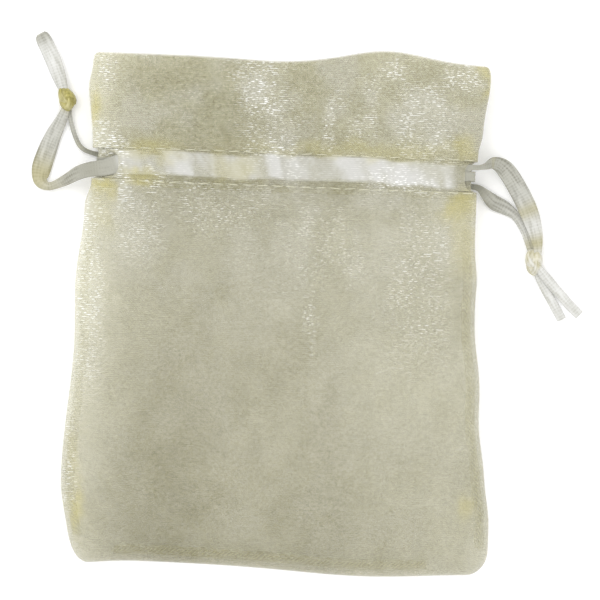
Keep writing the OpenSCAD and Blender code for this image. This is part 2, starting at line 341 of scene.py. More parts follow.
    def section(self, y: float, face: Face) -> tuple[float, float, float]:
        """The cross-section of one panel.

        Args:
            y: Height on the pouch.
            face: Which panel.

        Returns:
            Its squareness, the height of the side seam, and how far the panel stands off that.
        """
        seam = float(self.seam_z(y))
        rise = float(self.crown_z(y)) - seam if face is Face.FRONT else seam
        return float(self.squareness(y)), seam, rise

    def gap_at(self, y: float) -> float:
        """Space between the cloth and its facing: the casing stands open between its stitches.

        Args:
            y: Height on the pouch.

        Returns:
            The space.
        """
        t = float(np.clip((y - self.casing_low) / self.casing_h, 0, 1))
        open_share = ease(min(t, 1 - t) * self.casing_h / self.shoulder)
        return float(mix(self.layer_gap, self.casing_gap, open_share))

    def slit_at(self, y: float, side: Side) -> float:
        """How far the cloth's edge is pulled in at the end of the casing, with rounded corners.

        Args:
            y: Height on the pouch.
            side: Which side.

        Returns:
            The distance inwards.
        """
        half = self.casing_h / 2 - self.slit_margin
        u = abs(y - self.casing_y) / half
        if u >= 1:
            return 0.0
        return (self.left_slit if side is Side.LEFT else self.right_slit) * (1 - u**4) ** 0.5

    def ruffle(self, x: Array, y: Array, face: Face) -> Array:
        """How far the cloth stands out of its smooth shape.

        Args:
            x: Places across.
            y: Places along.
            face: Which panel.

        Returns:
            The rise at each place, in millimetres.
        """
        calm = ease((np.abs(y - self.casing_y) - 3.6) / 8.0)
        low = ease((y - self.bottom_y - 1.5) / 9.0) * ease((self.top_y + 3 - y) / 7.0)
        wide = sum(ripple.at(x, y) for ripple in self.ripples)
        if face is Face.BACK:
            return self.back_share * (0.55 + 0.45 * wide) * calm * low
        near = np.minimum(np.abs(y - self.casing_top), np.abs(y - self.casing_low))
        outside = ease((np.abs(y - self.casing_y) - self.casing_h / 2) / 1.5)
        pleats = self.pleat_h * np.sin(1.15 * x + 0.8 * np.sin(0.33 * x))
        pleats = pleats * bell(near, 0.0, self.pleat_reach) * outside
        drawn = 0.5 + 0.5 * np.cos(2 * PI * x / self.stitch_pitch)
        pucker = -self.pucker_h * drawn * bell(near, 0.0, self.pucker_reach)
        return wide * calm * low + pleats + pucker

    def row(
        self, y: float, depth: float, face: Face, side: Side, slit: float, columns: int
    ) -> Array:
        """A line of points across half a panel, from its middle to its side seam.

        Args:
            y: Height on the pouch.
            depth: Distance in from the outer face.
            face: Which panel.
            side: Which half.
            slit: How far the edge is pulled in.
            columns: Number of steps.

        Returns:
            The points, evenly spaced along the cloth, in millimetres.
        """
        half = float(self.half_w(y, side)) - depth
        spread = 1 - (1 - np.linspace(0, 1, self.samples)) ** self.edge_crowding
        pulled = spread * (half - slit) / half
        n, seam, rise = self.section(y, face)
        profile = np.maximum(0, 1 - pulled**n) ** (1 / n)
        x = half * pulled
        z = seam + face.value * (self.seam_gap + (rise - self.seam_gap - depth) * profile)
        run = np.concatenate([[0], np.cumsum(np.hypot(np.diff(x), np.diff(z)))])
        at = np.linspace(0, run[-1], columns + 1)
        x, z = np.interp(at, run, x), np.interp(at, run, z)
        fade = 1 - np.clip(x / half, 0, 1) ** self.edge_fade
        z = z + self.ruffle(side.value * x, np.full_like(x, y), face) * fade
        x = side.value * x
        return np.stack([x, self.wavy_y(np.full_like(x, y), x), z], axis=1)

    def surface_z(self, x: float, y: float, depth: float, face: Face) -> float:
        """Height of a panel's surface over a place, for what lies on it.

        Args:
            x: Place across.
            y: Height on the pouch.
            depth: Distance in from the outer face.
            face: Which panel.

        Returns:
            The height above the table.
        """
        side = Side.LEFT if x < 0 else Side.RIGHT
        half = float(self.half_w(y, side)) - depth
        n, seam, rise = self.section(y, face)
        profile = max(0.0, 1 - min(1.0, abs(x) / half) ** n) ** (1 / n)
        z = seam + face.value * (self.seam_gap + (rise - self.seam_gap - depth) * profile)
        return z + float(self.ruffle(np.array([x]), np.array([y]), face)[0])


# --------------------------------------------------------------------------- mesh helpers


def new_piece(
    name: str, points: Array, faces: list, smooth_angle: float = 50.0
) -> bpy.types.Object:
    """Make a mesh object from points in millimetres, with its faces outward.

    Args:
        name: The piece's name.
        points: One row for each point.
        faces: Lists of point numbers.
        smooth_angle: Edges sharper than this, in degrees, stay crisp.

    Returns:
        The new object, at the origin.
    """
    mesh = bpy.data.meshes.new(name)
    mesh.from_pydata((np.asarray(points) * MM).tolist(), [], faces)
    bm = bmesh.new()
    bm.from_mesh(mesh)
    bmesh.ops.recalc_face_normals(bm, faces=bm.faces)
    bm.to_mesh(mesh)
    bm.free()
    mesh.polygons.foreach_set("use_smooth", [True] * len(mesh.polygons))
    mesh.set_sharp_from_angle(angle=math.radians(smooth_angle))
    mesh.update()
    obj = bpy.data.objects.new(name, mesh)
    bpy.context.scene.collection.objects.link(obj)
    return obj


def slab(near: Array, far: Array, start: int) -> tuple[Array, list]:
    """A closed solid between two grids of points of the same size.

    Args:
        near: Grid of points of one face, as rows by columns by 3.
        far: Grid of points of the other face.
        start: Number of the first point.

    Returns:
        The points and the faces.
    """
    rows, cols = near.shape[:2]
    number = np.arange(rows * cols).reshape(rows, cols) + start
    back = number + rows * cols
    faces: list = []
    for i in range(rows - 1):
        for j in range(cols - 1):
            faces.append([number[i, j], number[i + 1, j], number[i + 1, j + 1], number[i, j + 1]])
            faces.append([back[i, j], back[i, j + 1], back[i + 1, j + 1], back[i + 1, j]])
    for i in range(rows - 1):
        faces.append([number[i, 0], back[i, 0], back[i + 1, 0], number[i + 1, 0]])
        faces.append([number[i, -1], number[i + 1, -1], back[i + 1, -1], back[i, -1]])
    for j in range(cols - 1):
        faces.append([number[0, j], number[0, j + 1], back[0, j + 1], back[0, j]])
        faces.append([number[-1, j], back[-1, j], back[-1, j + 1], number[-1, j + 1]])
    points = np.concatenate([near.reshape(-1, 3), far.reshape(-1, 3)])
    return points, [[int(v) for v in f] for f in faces]


def joined(parts: list[tuple[Array, Array]]) -> tuple[Array, list]:
    """Several slabs as one set of points and faces.

    Args:
        parts: The two grids of each slab.

    Returns:
        The points and the faces.
    """
    points, faces, count = [], [], 0
    for near, far in parts:
        p, f = slab(near, far, count)
        points.append(p)
        faces += f
        count += len(p)
    return np.concatenate(points), faces


# --------------------------------------------------------------------------- materials


class Nodes:
    """A short way to build one material's node tree."""

    def __init__(self, name: str) -> None:
        """Start a material with only its output and its main shader.

        Args:
            name: The material's name.
        """
        self.material = bpy.data.materials.new(name)
        self.material.use_nodes = True
        self.tree = self.material.node_tree
        self.tree.nodes.clear()
        output = self.tree.nodes.new("ShaderNodeOutputMaterial")
        self.shader = self.tree.nodes.new("ShaderNodeBsdfPrincipled")
        self.tree.links.new(self.shader.outputs["BSDF"], output.inputs["Surface"])

    def add(self, kind: str, **values: object) -> bpy.types.Node:
        """Add a node.

        Args:
            kind: The node's type.
            values: Its properties by name.

        Returns:
            The node.
        """
        node = self.tree.nodes.new(kind)
        for key, value in values.items():
            setattr(node, key, value)
        return node

    def link(self, source: Socket, target: Socket) -> None:
        """Join two sockets."""
        self.tree.links.new(source, target)

    def feed(self, target: Socket, value: object) -> None:
        """Set a socket to a constant, or join another socket to it.

        Args:
            target: The socket to set.
            value: A number, a colour or a socket.
        """
        if isinstance(value, bpy.types.NodeSocket):
            self.link(value, target)
        else:
            target.default_value = value

    def place(
        self, scale: tuple[float, float, float], turn: float = 0.0,
        shift: tuple[float, float, float] = (0, 0, 0),
    ) -> Socket:
        """Object coordinates in millimetres, scaled and turned.

        Args:
            scale: Scale along each axis, after the change to millimetres.
            turn: Turn about Z in degrees.
            shift: Shift in the scaled units.

        Returns:
            The vector socket.
        """
        where = self.add("ShaderNodeTexCoord")
        mapping = self.add("ShaderNodeMapping")
        self.link(where.outputs["Object"], mapping.inputs["Vector"])
        mapping.inputs["Scale"].default_value = [s / MM for s in scale]
        mapping.inputs["Rotation"].default_value = (0, 0, math.radians(turn))
        mapping.inputs["Location"].default_value = shift
        return mapping.outputs["Vector"]

    def uv(self, scale: tuple[float, float, float]) -> Socket:
        """The piece's own UV map, scaled.

        Args:
            scale: Scale along each axis.

        Returns:
            The vector socket.
        """
        where = self.add("ShaderNodeTexCoord")
        mapping = self.add("ShaderNodeMapping")
        self.link(where.outputs["UV"], mapping.inputs["Vector"])
        mapping.inputs["Scale"].default_value = scale
        return mapping.outputs["Vector"]

    def attribute(self, name: str) -> Socket:
        """A number stored on the piece's points."""
        return self.add("ShaderNodeAttribute", attribute_name=name).outputs["Fac"]

    def split(self, vector: Socket) -> tuple[Socket, Socket, Socket]:
        """The three parts of a vector.

        Args:
            vector: The vector.

        Returns:
            Its X, Y and Z sockets.
        """
        node = self.add("ShaderNodeSeparateXYZ")
        self.link(vector, node.inputs[0])
        return node.outputs[0], node.outputs[1], node.outputs[2]

    def noise(self, vector: Socket, detail: float = 2.0, rough: float = 0.5) -> Socket:
        """A noise value at a place, with spots of about one unit.

        Args:
            vector: The place.
            detail: Number of finer layers.
            rough: Strength of the finer layers.

        Returns:
            The value socket.
        """
        node = self.add("ShaderNodeTexNoise")
        self.link(vector, node.inputs["Vector"])
        for name, number in (("Scale", 1.0), ("Detail", detail), ("Roughness", rough)):
            node.inputs[name].default_value = number
        return node.outputs["Fac"]

    def bands(self, vector: Socket, axis: str, pitch: float, bend: float = 0.0) -> Socket:
        """Parallel lines across an axis.

        Args:
            vector: The place.
            axis: The axis they are stacked along.
            pitch: Distance from one to the next, in the vector's own units.
            bend: How far they wander.

        Returns:
            The value socket.
        """
        node = self.add(
            "ShaderNodeTexWave", wave_type="BANDS", bands_direction=axis, wave_profile="SIN"
        )
        self.link(vector, node.inputs["Vector"])
        node.inputs["Scale"].default_value = PI / (10 * pitch)
        node.inputs["Distortion"].default_value = bend
        node.inputs["Detail"].default_value = 2.0
        node.inputs["Detail Scale"].default_value = 1.4
        return node.outputs["Fac"]

    def math(self, operation: str, a: object, b: object = 0.0, clamp: bool = False) -> Socket:
        """A sum, product or other simple operation.

        Args:
            operation: The Math node's operation.
            a: The first number or socket.
            b: The second number or socket.
            clamp: True to keep the result within 0..1.

        Returns:
            The value socket.
        """
        node = self.add("ShaderNodeMath", operation=operation, use_clamp=clamp)
        self.feed(node.inputs[0], a)
        self.feed(node.inputs[1], b)
        return node.outputs[0]

    def plus(self, a: object, b: object, clamp: bool = False) -> Socket:
        """The sum of two numbers or sockets."""
        return self.math("ADD", a, b, clamp)

    def times(self, a: object, b: object, clamp: bool = False) -> Socket:
        """The product of two numbers or sockets."""
        return self.math("MULTIPLY", a, b, clamp)

    def about(self, value: Socket, middle: float, depth: float) -> Socket:
        """How far a value lies from its middle, scaled by a depth."""
        return self.times(self.math("SUBTRACT", value, middle), depth)

    def ramp(
        self, value: Socket, low: float, high: float, to_low: float = 0.0, to_high: float = 1.0
    ) -> Socket:
        """A smooth step of a value.

        Args:
            value: The value.
            low: Where the step starts.
            high: Where it ends.
            to_low: The result up to its start.
            to_high: The result from its end.

        Returns:
            The value socket.
        """
        node = self.add("ShaderNodeMapRange", interpolation_type="SMOOTHSTEP")
        self.link(value, node.inputs["Value"])
        limits = {"From Min": low, "From Max": high, "To Min": to_low, "To Max": to_high}
        for name, number in limits.items():
            node.inputs[name].default_value = number
        return node.outputs["Result"]

    def colour(self, share: Socket, first: object, second: object) -> Socket:
        """Mix two colours.

        Args:
            share: Share of the second.
            first: A colour or a socket.
            second: A colour or a socket.

        Returns:
            The colour socket.
        """
        node = self.add("ShaderNodeMix", data_type="RGBA", blend_type="MIX")
        self.feed(node.inputs["Factor"], share)
        for socket, value in zip((node.inputs[6], node.inputs[7]), (first, second)):
            self.feed(socket, (*value, 1.0) if isinstance(value, tuple) else value)
        return node.outputs[2]

    def bump(self, height: Socket, strength: float, distance: float) -> Socket:
        """A bump of the surface from a height pattern.

        Args:
            height: The pattern.
            strength: Strength of the bump.
            distance: Its depth in millimetres.

        Returns:
            The normal socket.
        """
        node = self.add("ShaderNodeBump")
        node.inputs["Strength"].default_value = strength
        node.inputs["Distance"].default_value = distance * MM
        self.link(height, node.inputs["Height"])
        return node.outputs["Normal"]

    def finish(self, constants: dict[str, float], **links: Socket) -> bpy.types.Material:
        """Set the shader's constant sockets and join the patterns to the others.

        Args:
            constants: Numbers by socket name.
            links: Sockets by socket name, with _ for a space.

        Returns:
            The material.
        """
        for name, value in constants.items():
            self.shader.inputs[name].default_value = value
        for name, socket in links.items():
            self.link(socket, self.shader.inputs[name.replace("_", " ")])
        return self.material


class Sway(Enum):
    """How a patch of painted sparkle leans: not at all, or its top to the left or right."""

    NONE = 0
    LEFT = -1
    RIGHT = 1


# How far a patch leans across for each millimetre along
LEAN = {Sway.NONE: 0.0, Sway.LEFT: 0.13, Sway.RIGHT: -0.28}


@dataclass(frozen=True)
class Patch:
    """A part of the cloth that stands out from the rest, in millimetres."""

    x: float
    half_x: float
    y: float
    half_y: float
    strength: float
    sway: Sway = Sway.NONE


# Patches of painted sparkle: highlights put into the colour where the weave would catch the light
PAINTED_SPARKLE = (
    Patch(1.0, 4.6, 34.5, 9.0, 0.85, Sway.LEFT),
    Patch(4.2, 1.8, 35.0, 6.5, 0.60, Sway.RIGHT),
    Patch(24.3, 5.4, 33.5, 7.2, 0.70),
    Patch(29.5, 2.8, 41.2, 2.6, 0.85),
    Patch(17.6, 2.4, 42.0, 2.2, 0.75),
    Patch(-35.2, 1.6, -30.0, 11.0, 0.70),
    Patch(-31.6, 1.9, 39.6, 3.6, 1.0),
    Patch(-31.2, 2.4, 28.2, 3.2, 0.95),
    Patch(-28.3, 1.3, 23.5, 6.0, 0.9),
    Patch(-1.6, 1.2, 33.0, 4.0, 0.9, Sway.RIGHT),
    Patch(-33.2, 2.6, 3.0, 16.0, 0.75),
    Patch(-12.0, 11.0, 17.0, 4.0, 0.40),
    Patch(-9.5, 2.6, 15.5, 3.4, 0.75),
    Patch(-22.3, 2.2, 21.4, 1.6, 0.9),
    Patch(-15.5, 2.6, 16.5, 4.0, 0.55),
    Patch(2.0, 1.8, 23.6, 2.2, 0.7),
    Patch(20.0, 6.0, 23.4, 2.4, 0.70),
    Patch(5.3, 0.8, -2.0, 6.5, 0.50),
    Patch(24.0, 4.6, 5.0, 13.0, 0.45),
    Patch(-24.0, 4.4, 14.0, 6.0, 0.45),
    Patch(8.0, 5.4, 12.0, 7.0, 0.35),
)
# Where several layers of cloth bunch up at the ends of the casing and at the seams
BUNCHES = (
    Patch(-31.6, 1.6, 20.6, 1.6, 1.0),
    Patch(-30.8, 1.5, 16.0, 3.2, 0.30),
    Patch(34.0, 0.9, 40.5, 2.4, 0.7),
    Patch(-33.2, 0.7, -36.0, 4.0, 0.8),
    Patch(-33.1, 0.9, 33.4, 2.8, 0.8),
    Patch(31.6, 1.6, 28.0, 1.7, 0.60),
    Patch(29.8, 3.2, 18.8, 2.3, 0.75),
    Patch(31.4, 2.4, 13.0, 5.0, 0.40),
    Patch(-23.5, 5.2, 26.5, 1.6, 0.5),
    Patch(-24.9, 3.2, 22.2, 0.9, 0.7),
    Patch(-8.0, 4.0, 24.0, 2.0, 0.45),
    Patch(33.4, 1.0, -33.0, 2.0, 0.5),
    Patch(-34.0, 1.2, -30.0, 6.0, 0.35),
    Patch(12.0, 18.0, 27.6, 1.3, 0.35),
)


class Clouds:
    """Smooth patterns from a seeded lattice of random numbers."""

    CELLS = 128

    def __init__(self, seed: int) -> None:
        """Draw the lattice.

        Args:
            seed: Seed of its random numbers.
        """
        self.lattice = np.random.default_rng(seed).random((self.CELLS, self.CELLS))

    def at(self, x: Array, y: Array, size: float) -> Array:
        """The pattern at places, with spots of one size.

        Args:
            x: Places across.
            y: Places along.
            size: Size of a spot.

        Returns:
            Values from 0 to 1.
        """
        u, v = x / size + self.CELLS / 2, y / size + self.CELLS / 2
        i, j = np.floor(u).astype(int), np.floor(v).astype(int)
        p, q = ease(u - i), ease(v - j)
        i, j = i % (self.CELLS - 1), j % (self.CELLS - 1)
        g = self.lattice
        low = mix(g[i, j], g[i + 1, j], p)
        return mix(low, mix(g[i, j + 1], g[i + 1, j + 1], p), q)

    def layered(self, x: Array, y: Array, size: float, layers: int = 3) -> Array:
        """Several sizes of spots laid over each other.

        Args:
            x: Places across.
            y: Places along.
            size: Size of the largest spots.
            layers: Number of sizes, each half the one before.

        Returns:
            Values about 0.5.
        """
        total, weight = np.zeros_like(x), 0.0
        for k in range(layers):
            share = 0.6**k
            total += share * self.at(x + 11.3 * k, y - 7.7 * k, size / 2**k)
            weight += share
        return total / weight


@dataclass(frozen=True)
class Play:
    """Painted light and shade, painted sparkle and painted sheen, with random tone and the yellow
    of bunched layers, stored on the cloth's points.
    """

    shape: PouchShape
    clouds: Clouds
    edge_fall: float = 0.7
    plain_tone: float = 0.40
    drawn_half_h: float = 1.7

    def cover(self, x: Array, y: Array, patches: tuple[Patch, ...]) -> Array:
        """How strongly each place is in one of some patches, whose edges stray a little.

        Args:
            x: Places across.
            y: Places along.
            patches: The patches.

        Returns:
            Values from 0 to 1.
        """
        stray = self.clouds.layered(x, y, 4.0) - 0.5
        across, along = x + 4.0 * stray, y - 4.5 * stray
        total = np.zeros_like(x)
        for patch in patches:
            place = across + along * LEAN[patch.sway]
            away = ((place - patch.x) / patch.half_x) ** 4 + ((along - patch.y) / patch.half_y) ** 4
            total = np.maximum(total, np.exp(-self.edge_fall * away) * patch.strength)
        return total

    def glitter(self, x: Array, y: Array) -> Array:
        """Share of painted sparkle highlights at each place."""
        clumps = ease((self.clouds.layered(x + 40, y * 2, 5.0) - 0.3) / 0.3)
        return self.cover(x, y, PAINTED_SPARKLE) * (0.45 + 0.55 * clumps)

    def warm(self, x: Array, y: Array) -> Array:
        """How yellow the cloth is at each place, most where layers bunch up."""
        blots = self.clouds.layered(x - 15, y + 20, 2.4)
        return self.cover(x, y, BUNCHES) * (0.5 + 0.6 * blots)

    def tone(self, x: Array, y: Array) -> Array:
        """How light the cloth is at each place: painted light and shade, with random tone.

        Args:
            x: Places across.
            y: Places along.

        Returns:
            Values from 0 to 1.
        """
        # Painted light and shade: lighter along the left edge and to the right, darker low down and
        # below the casing
        left = bell(x, -37, 7.5) * mix(0.26, 0.66, ease((y + 40) / 46))
        low_left = 0.21 * bell(x, -20, 12.0) * ease((10 - y) / 46)
        low = 0.13 * ease((-8 - y) / 32) * bell(x, 11, 20.0)
        right = 0.10 * ease((x - 4) / 14) + 0.05 * ease((y - 2) / 10)
        body = 0.06 * ease((self.shape.casing_top - y) / 3)
        large, small = self.clouds.layered(x, y, 13.0), self.clouds.layered(x, y, 3.2)
        spots = 0.15 * (large - 0.5) + 0.20 * (small - 0.5)
        return np.clip(self.plain_tone + left + right - low_left - low - body + spots, 0, 1)

    def cool(self, x: Array, y: Array) -> Array:
        """How much painted silvery sheen the cloth has at each place, most where it is drawn over
        the ribbon.

        Args:
            x: Places across.
            y: Places along.

        Returns:
            Values from 0 to 1.
        """
        s, layered = self.shape, self.clouds.layered
        spots = ease((layered(x - 30, y + 9, 7.0) - 0.42) / 0.25)
        spots = spots * mix(0.10, 0.28, ease((y + 10) / 30))
        # The band of painted sheen over the ribbon, whose edges wander, up to the ends of the
        # casing
        wander = 1.6 * (layered(x + 50, 0 * y, 7.0) - 0.5)
        drawn = 1 - ease((np.abs(y - s.casing_y - 0.3 - wander) - self.drawn_half_h) / 0.7)
        drawn = drawn * ease((s.end_x - 3.0 - np.abs(x)) / 2.0)
        bright = 0.18 + 0.30 * ease((x + 4) / 6) * ease((29 - x) / 5) + 0.28 * bell(x, -17.0, 3.6)
        creases = ease((layered(x + 0.35 * y, 0.3 * y, 2.2) - 0.28) / 0.44)
        return np.clip(spots + drawn * (bright + 0.6 * creases - 0.02), 0, 1)

    def paint(self, piece: bpy.types.Object) -> None:
        """Store the four patterns on a piece of cloth.

        Args:
            piece: The piece.
        """
        mesh = piece.data
        at = np.zeros(len(mesh.vertices) * 3)
        mesh.vertices.foreach_get("co", at)
        x, y, _ = (at.reshape(-1, 3) / MM).T
        for rule in (self.glitter, self.tone, self.cool, self.warm):
            data = mesh.attributes.new(rule.__name__, "FLOAT", "POINT").data
            data.foreach_set("value", rule(x, y).astype(np.float32))


@dataclass(frozen=True)
class SheerCloth:
    """Sheer organza: a fine plain weave, with bright crosswise highlights painted into its colour.
    """

    name: str
    light: tuple[float, float, float] = (0.80, 0.78, 0.60)
    deep: tuple[float, float, float] = (0.19, 0.17, 0.045)
    cool: tuple[float, float, float] = (0.72, 0.715, 0.68)
    warm: tuple[float, float, float] = (0.66, 0.59, 0.16)
    fleck: tuple[float, float, float] = (0.97, 0.97, 0.96)
    cover: float = 0.27
    sparkle: float = 1.0
    weft_pitch: float = 0.34
    grain_depth: float = 1.1

    def build(self) -> bpy.types.Material:
        """Build the material.

        Returns:
            The material.
        """
        n = Nodes(self.name)
        weft = n.bands(n.place((1, 1, 1)), "Y", self.weft_pitch, 0.5)
        grain = n.noise(n.place((1.7, 2.6, 1.0)), 3.0, 0.7)
        dash = n.noise(n.place((1.5, 4.6, 1.0), 1.5, (3.1, 1.7, 0.4)), 1.0, 0.5)
        dash = n.times(n.ramp(dash, 0.52, 0.66), n.ramp(weft, 0.2, 0.8, 0.15, 1.0))
        # Painted sparkle: short bright crosswise highlights in the sparkle patches, mixed into the
        # colour, with real bumps and lower roughness
        zone = n.attribute("glitter")
        painted_flecks = n.plus(n.times(dash, n.plus(zone, 0.13)), n.times(zone, 0.13))
        painted_flecks = n.times(painted_flecks, self.sparkle, True)
        # The tone attribute holds painted light and shade as well as random tone
        tone = n.plus(n.attribute("tone"), n.about(grain, 0.5, self.grain_depth))
        tone = n.plus(tone, n.about(weft, 0.5, 0.06), True)
        base = n.colour(tone, self.deep, self.light)
        # Painted silvery sheen over the ribbon and in spots
        base = n.colour(n.attribute("cool"), base, self.cool)
        base = n.colour(n.times(n.attribute("warm"), 0.8, True), base, self.warm)
        base = n.colour(painted_flecks, base, self.fleck)
        cover = n.plus(n.times(weft, 0.04), self.cover - 0.02)
        cover = n.plus(cover, n.times(n.attribute("cool"), 0.30))
        alpha = n.plus(cover, n.times(painted_flecks, 0.45), True)
        rough = n.ramp(painted_flecks, 0.0, 1.0, 0.55, 0.30)
        normal = n.bump(n.plus(n.times(grain, 0.9), n.times(dash, 0.5)), 0.3, 0.05)
        constants = {"Sheen Weight": 0.25, "Sheen Roughness": 0.4, "Specular IOR Level": 0.45}
        return n.finish(constants, Base_Color=base, Alpha=alpha, Roughness=rough, Normal=normal)


@dataclass(frozen=True)
class SeamCloth:
    """Raw organza edges bound together: denser and yellower than one layer."""

    name: str
    light: tuple[float, float, float] = (0.62, 0.60, 0.45)
    deep: tuple[float, float, float] = (0.42, 0.39, 0.20)
    bright: tuple[float, float, float] = (0.80, 0.78, 0.60)
    cover: float = 0.26

    def build(self) -> bpy.types.Material:
        """Build the material.

        Returns:
            The material.
        """
        n = Nodes(self.name)
        cross = n.bands(n.place((1, 1, 1), 12.0), "Y", 0.62, 1.6)
        blot = n.noise(n.place((0.35, 0.22, 0.3)), 4.0, 0.62)
        fine = n.noise(n.place((2.2, 2.2, 2.2)), 3.0, 0.6)
        tone = n.plus(n.times(cross, 0.5), n.times(fine, 0.6), True)
        base = n.colour(tone, self.deep, self.light)
        base = n.colour(n.ramp(blot, 0.55, 0.70, 0.0, 0.85), base, self.bright)
        alpha = n.plus(n.times(blot, 0.5), self.cover - 0.25, True)
        normal = n.bump(n.plus(cross, fine), 0.5, 0.10)
        constants = {"Roughness": 0.55, "Sheen Weight": 0.2}
        return n.finish(constants, Base_Color=base, Alpha=alpha, Normal=normal)


@dataclass(frozen=True)
class SewingThread:
    """Twisted sewing thread."""

    name: str
    light: tuple[float, float, float] = (0.76, 0.745, 0.60)
    deep: tuple[float, float, float] = (0.52, 0.50, 0.35)

    def build(self) -> bpy.types.Material:
        """Build the material.

        Returns:
            The material.
        """
        n = Nodes(self.name)
        twist = n.bands(n.place((1, 1, 1), 35.0), "X", 0.16, 0.3)
        wear = n.noise(n.place((1.4, 1.4, 1.4)), 3.0)
        tone = n.plus(n.times(twist, 0.45), n.times(wear, 0.6), True)
        base = n.colour(tone, self.deep, self.light)
        constants = {"Roughness": 0.5, "Sheen Weight": 0.3}
        return n.finish(constants, Base_Color=base, Normal=n.bump(twist, 0.5, 0.05))


@dataclass(frozen=True)
class Satin:
    """Satin ribbon: fine crosswise ribs, long glossy streaks painted as lighter colour, painted
    shade along its edges, and darker, yellower painted shade where it is folded.
    """

    name: str
    light: tuple[float, float, float] = (0.68, 0.68, 0.655)
    shade: tuple[float, float, float] = (0.42, 0.415, 0.365)
    fold: tuple[float, float, float] = (0.27, 0.245, 0.11)
    fold_light: tuple[float, float, float] = (0.42, 0.385, 0.205)
    dull: tuple[float, float, float] = (0.11, 0.105, 0.07)
    dull_light: tuple[float, float, float] = (0.37, 0.365, 0.30)
    rib: float = 0.50
    rib_depth: float = 0.5

    def build(self) -> bpy.types.Material:
        """Build the material.

        Returns:
            The material.
        """
        n = Nodes(self.name)
        along = n.uv((1, 1, 1))
        _, across, _ = n.split(along)
        ribs = n.bands(along, "X", self.rib, 0.25)
        # Long streaks: real bumps, and painted glossy highlights in the colour
        streak = n.noise(n.uv((0.22, 2.4, 1)), 3.0, 0.55)
        dash = n.noise(n.uv((3.2, 0.9, 1)), 2.0, 0.6)
        # Painted shade along the ribbon's edges
        edge = n.ramp(n.math("ABSOLUTE", across), 1.25, 1.7, 0.0, 0.35)
        tone = n.plus(n.ramp(streak, 0.30, 0.70, 0.25, 1.0), n.about(ribs, 0.5, 0.24))
        tone = n.math("SUBTRACT", n.plus(tone, n.about(dash, 0.45, 0.8)), edge, True)
        # Inside the casing the pattern is weaker, because cloth lies over it
        hidden = n.attribute("inside")
        tone = n.times(tone, n.ramp(hidden, 0.0, 1.0, 1.0, 0.35))
        tone = n.plus(tone, n.times(hidden, 0.55))
        base = n.colour(tone, self.shade, self.light)
        # Painted shade near the ends of the casing and at the left tails' tips
        dull = n.colour(tone, self.dull, self.dull_light)
        base = n.colour(n.attribute("dull"), base, dull)
        # Painted shade in folds: darker and yellower
        fold = n.colour(tone, self.fold, self.fold_light)
        base = n.colour(n.times(n.attribute("fold"), 0.9, True), base, fold)
        height = n.plus(n.times(ribs, self.rib_depth), n.times(streak, 0.9))
        normal = n.bump(height, 0.45, 0.08)
        rough = n.ramp(tone, 0.0, 1.0, 0.48, 0.26)
        constants = {"Sheen Weight": 0.15, "Anisotropic": 0.4, "Specular IOR Level": 0.55}
        return n.finish(constants, Base_Color=base, Roughness=rough, Normal=normal)


# --------------------------------------------------------------------------- stitches


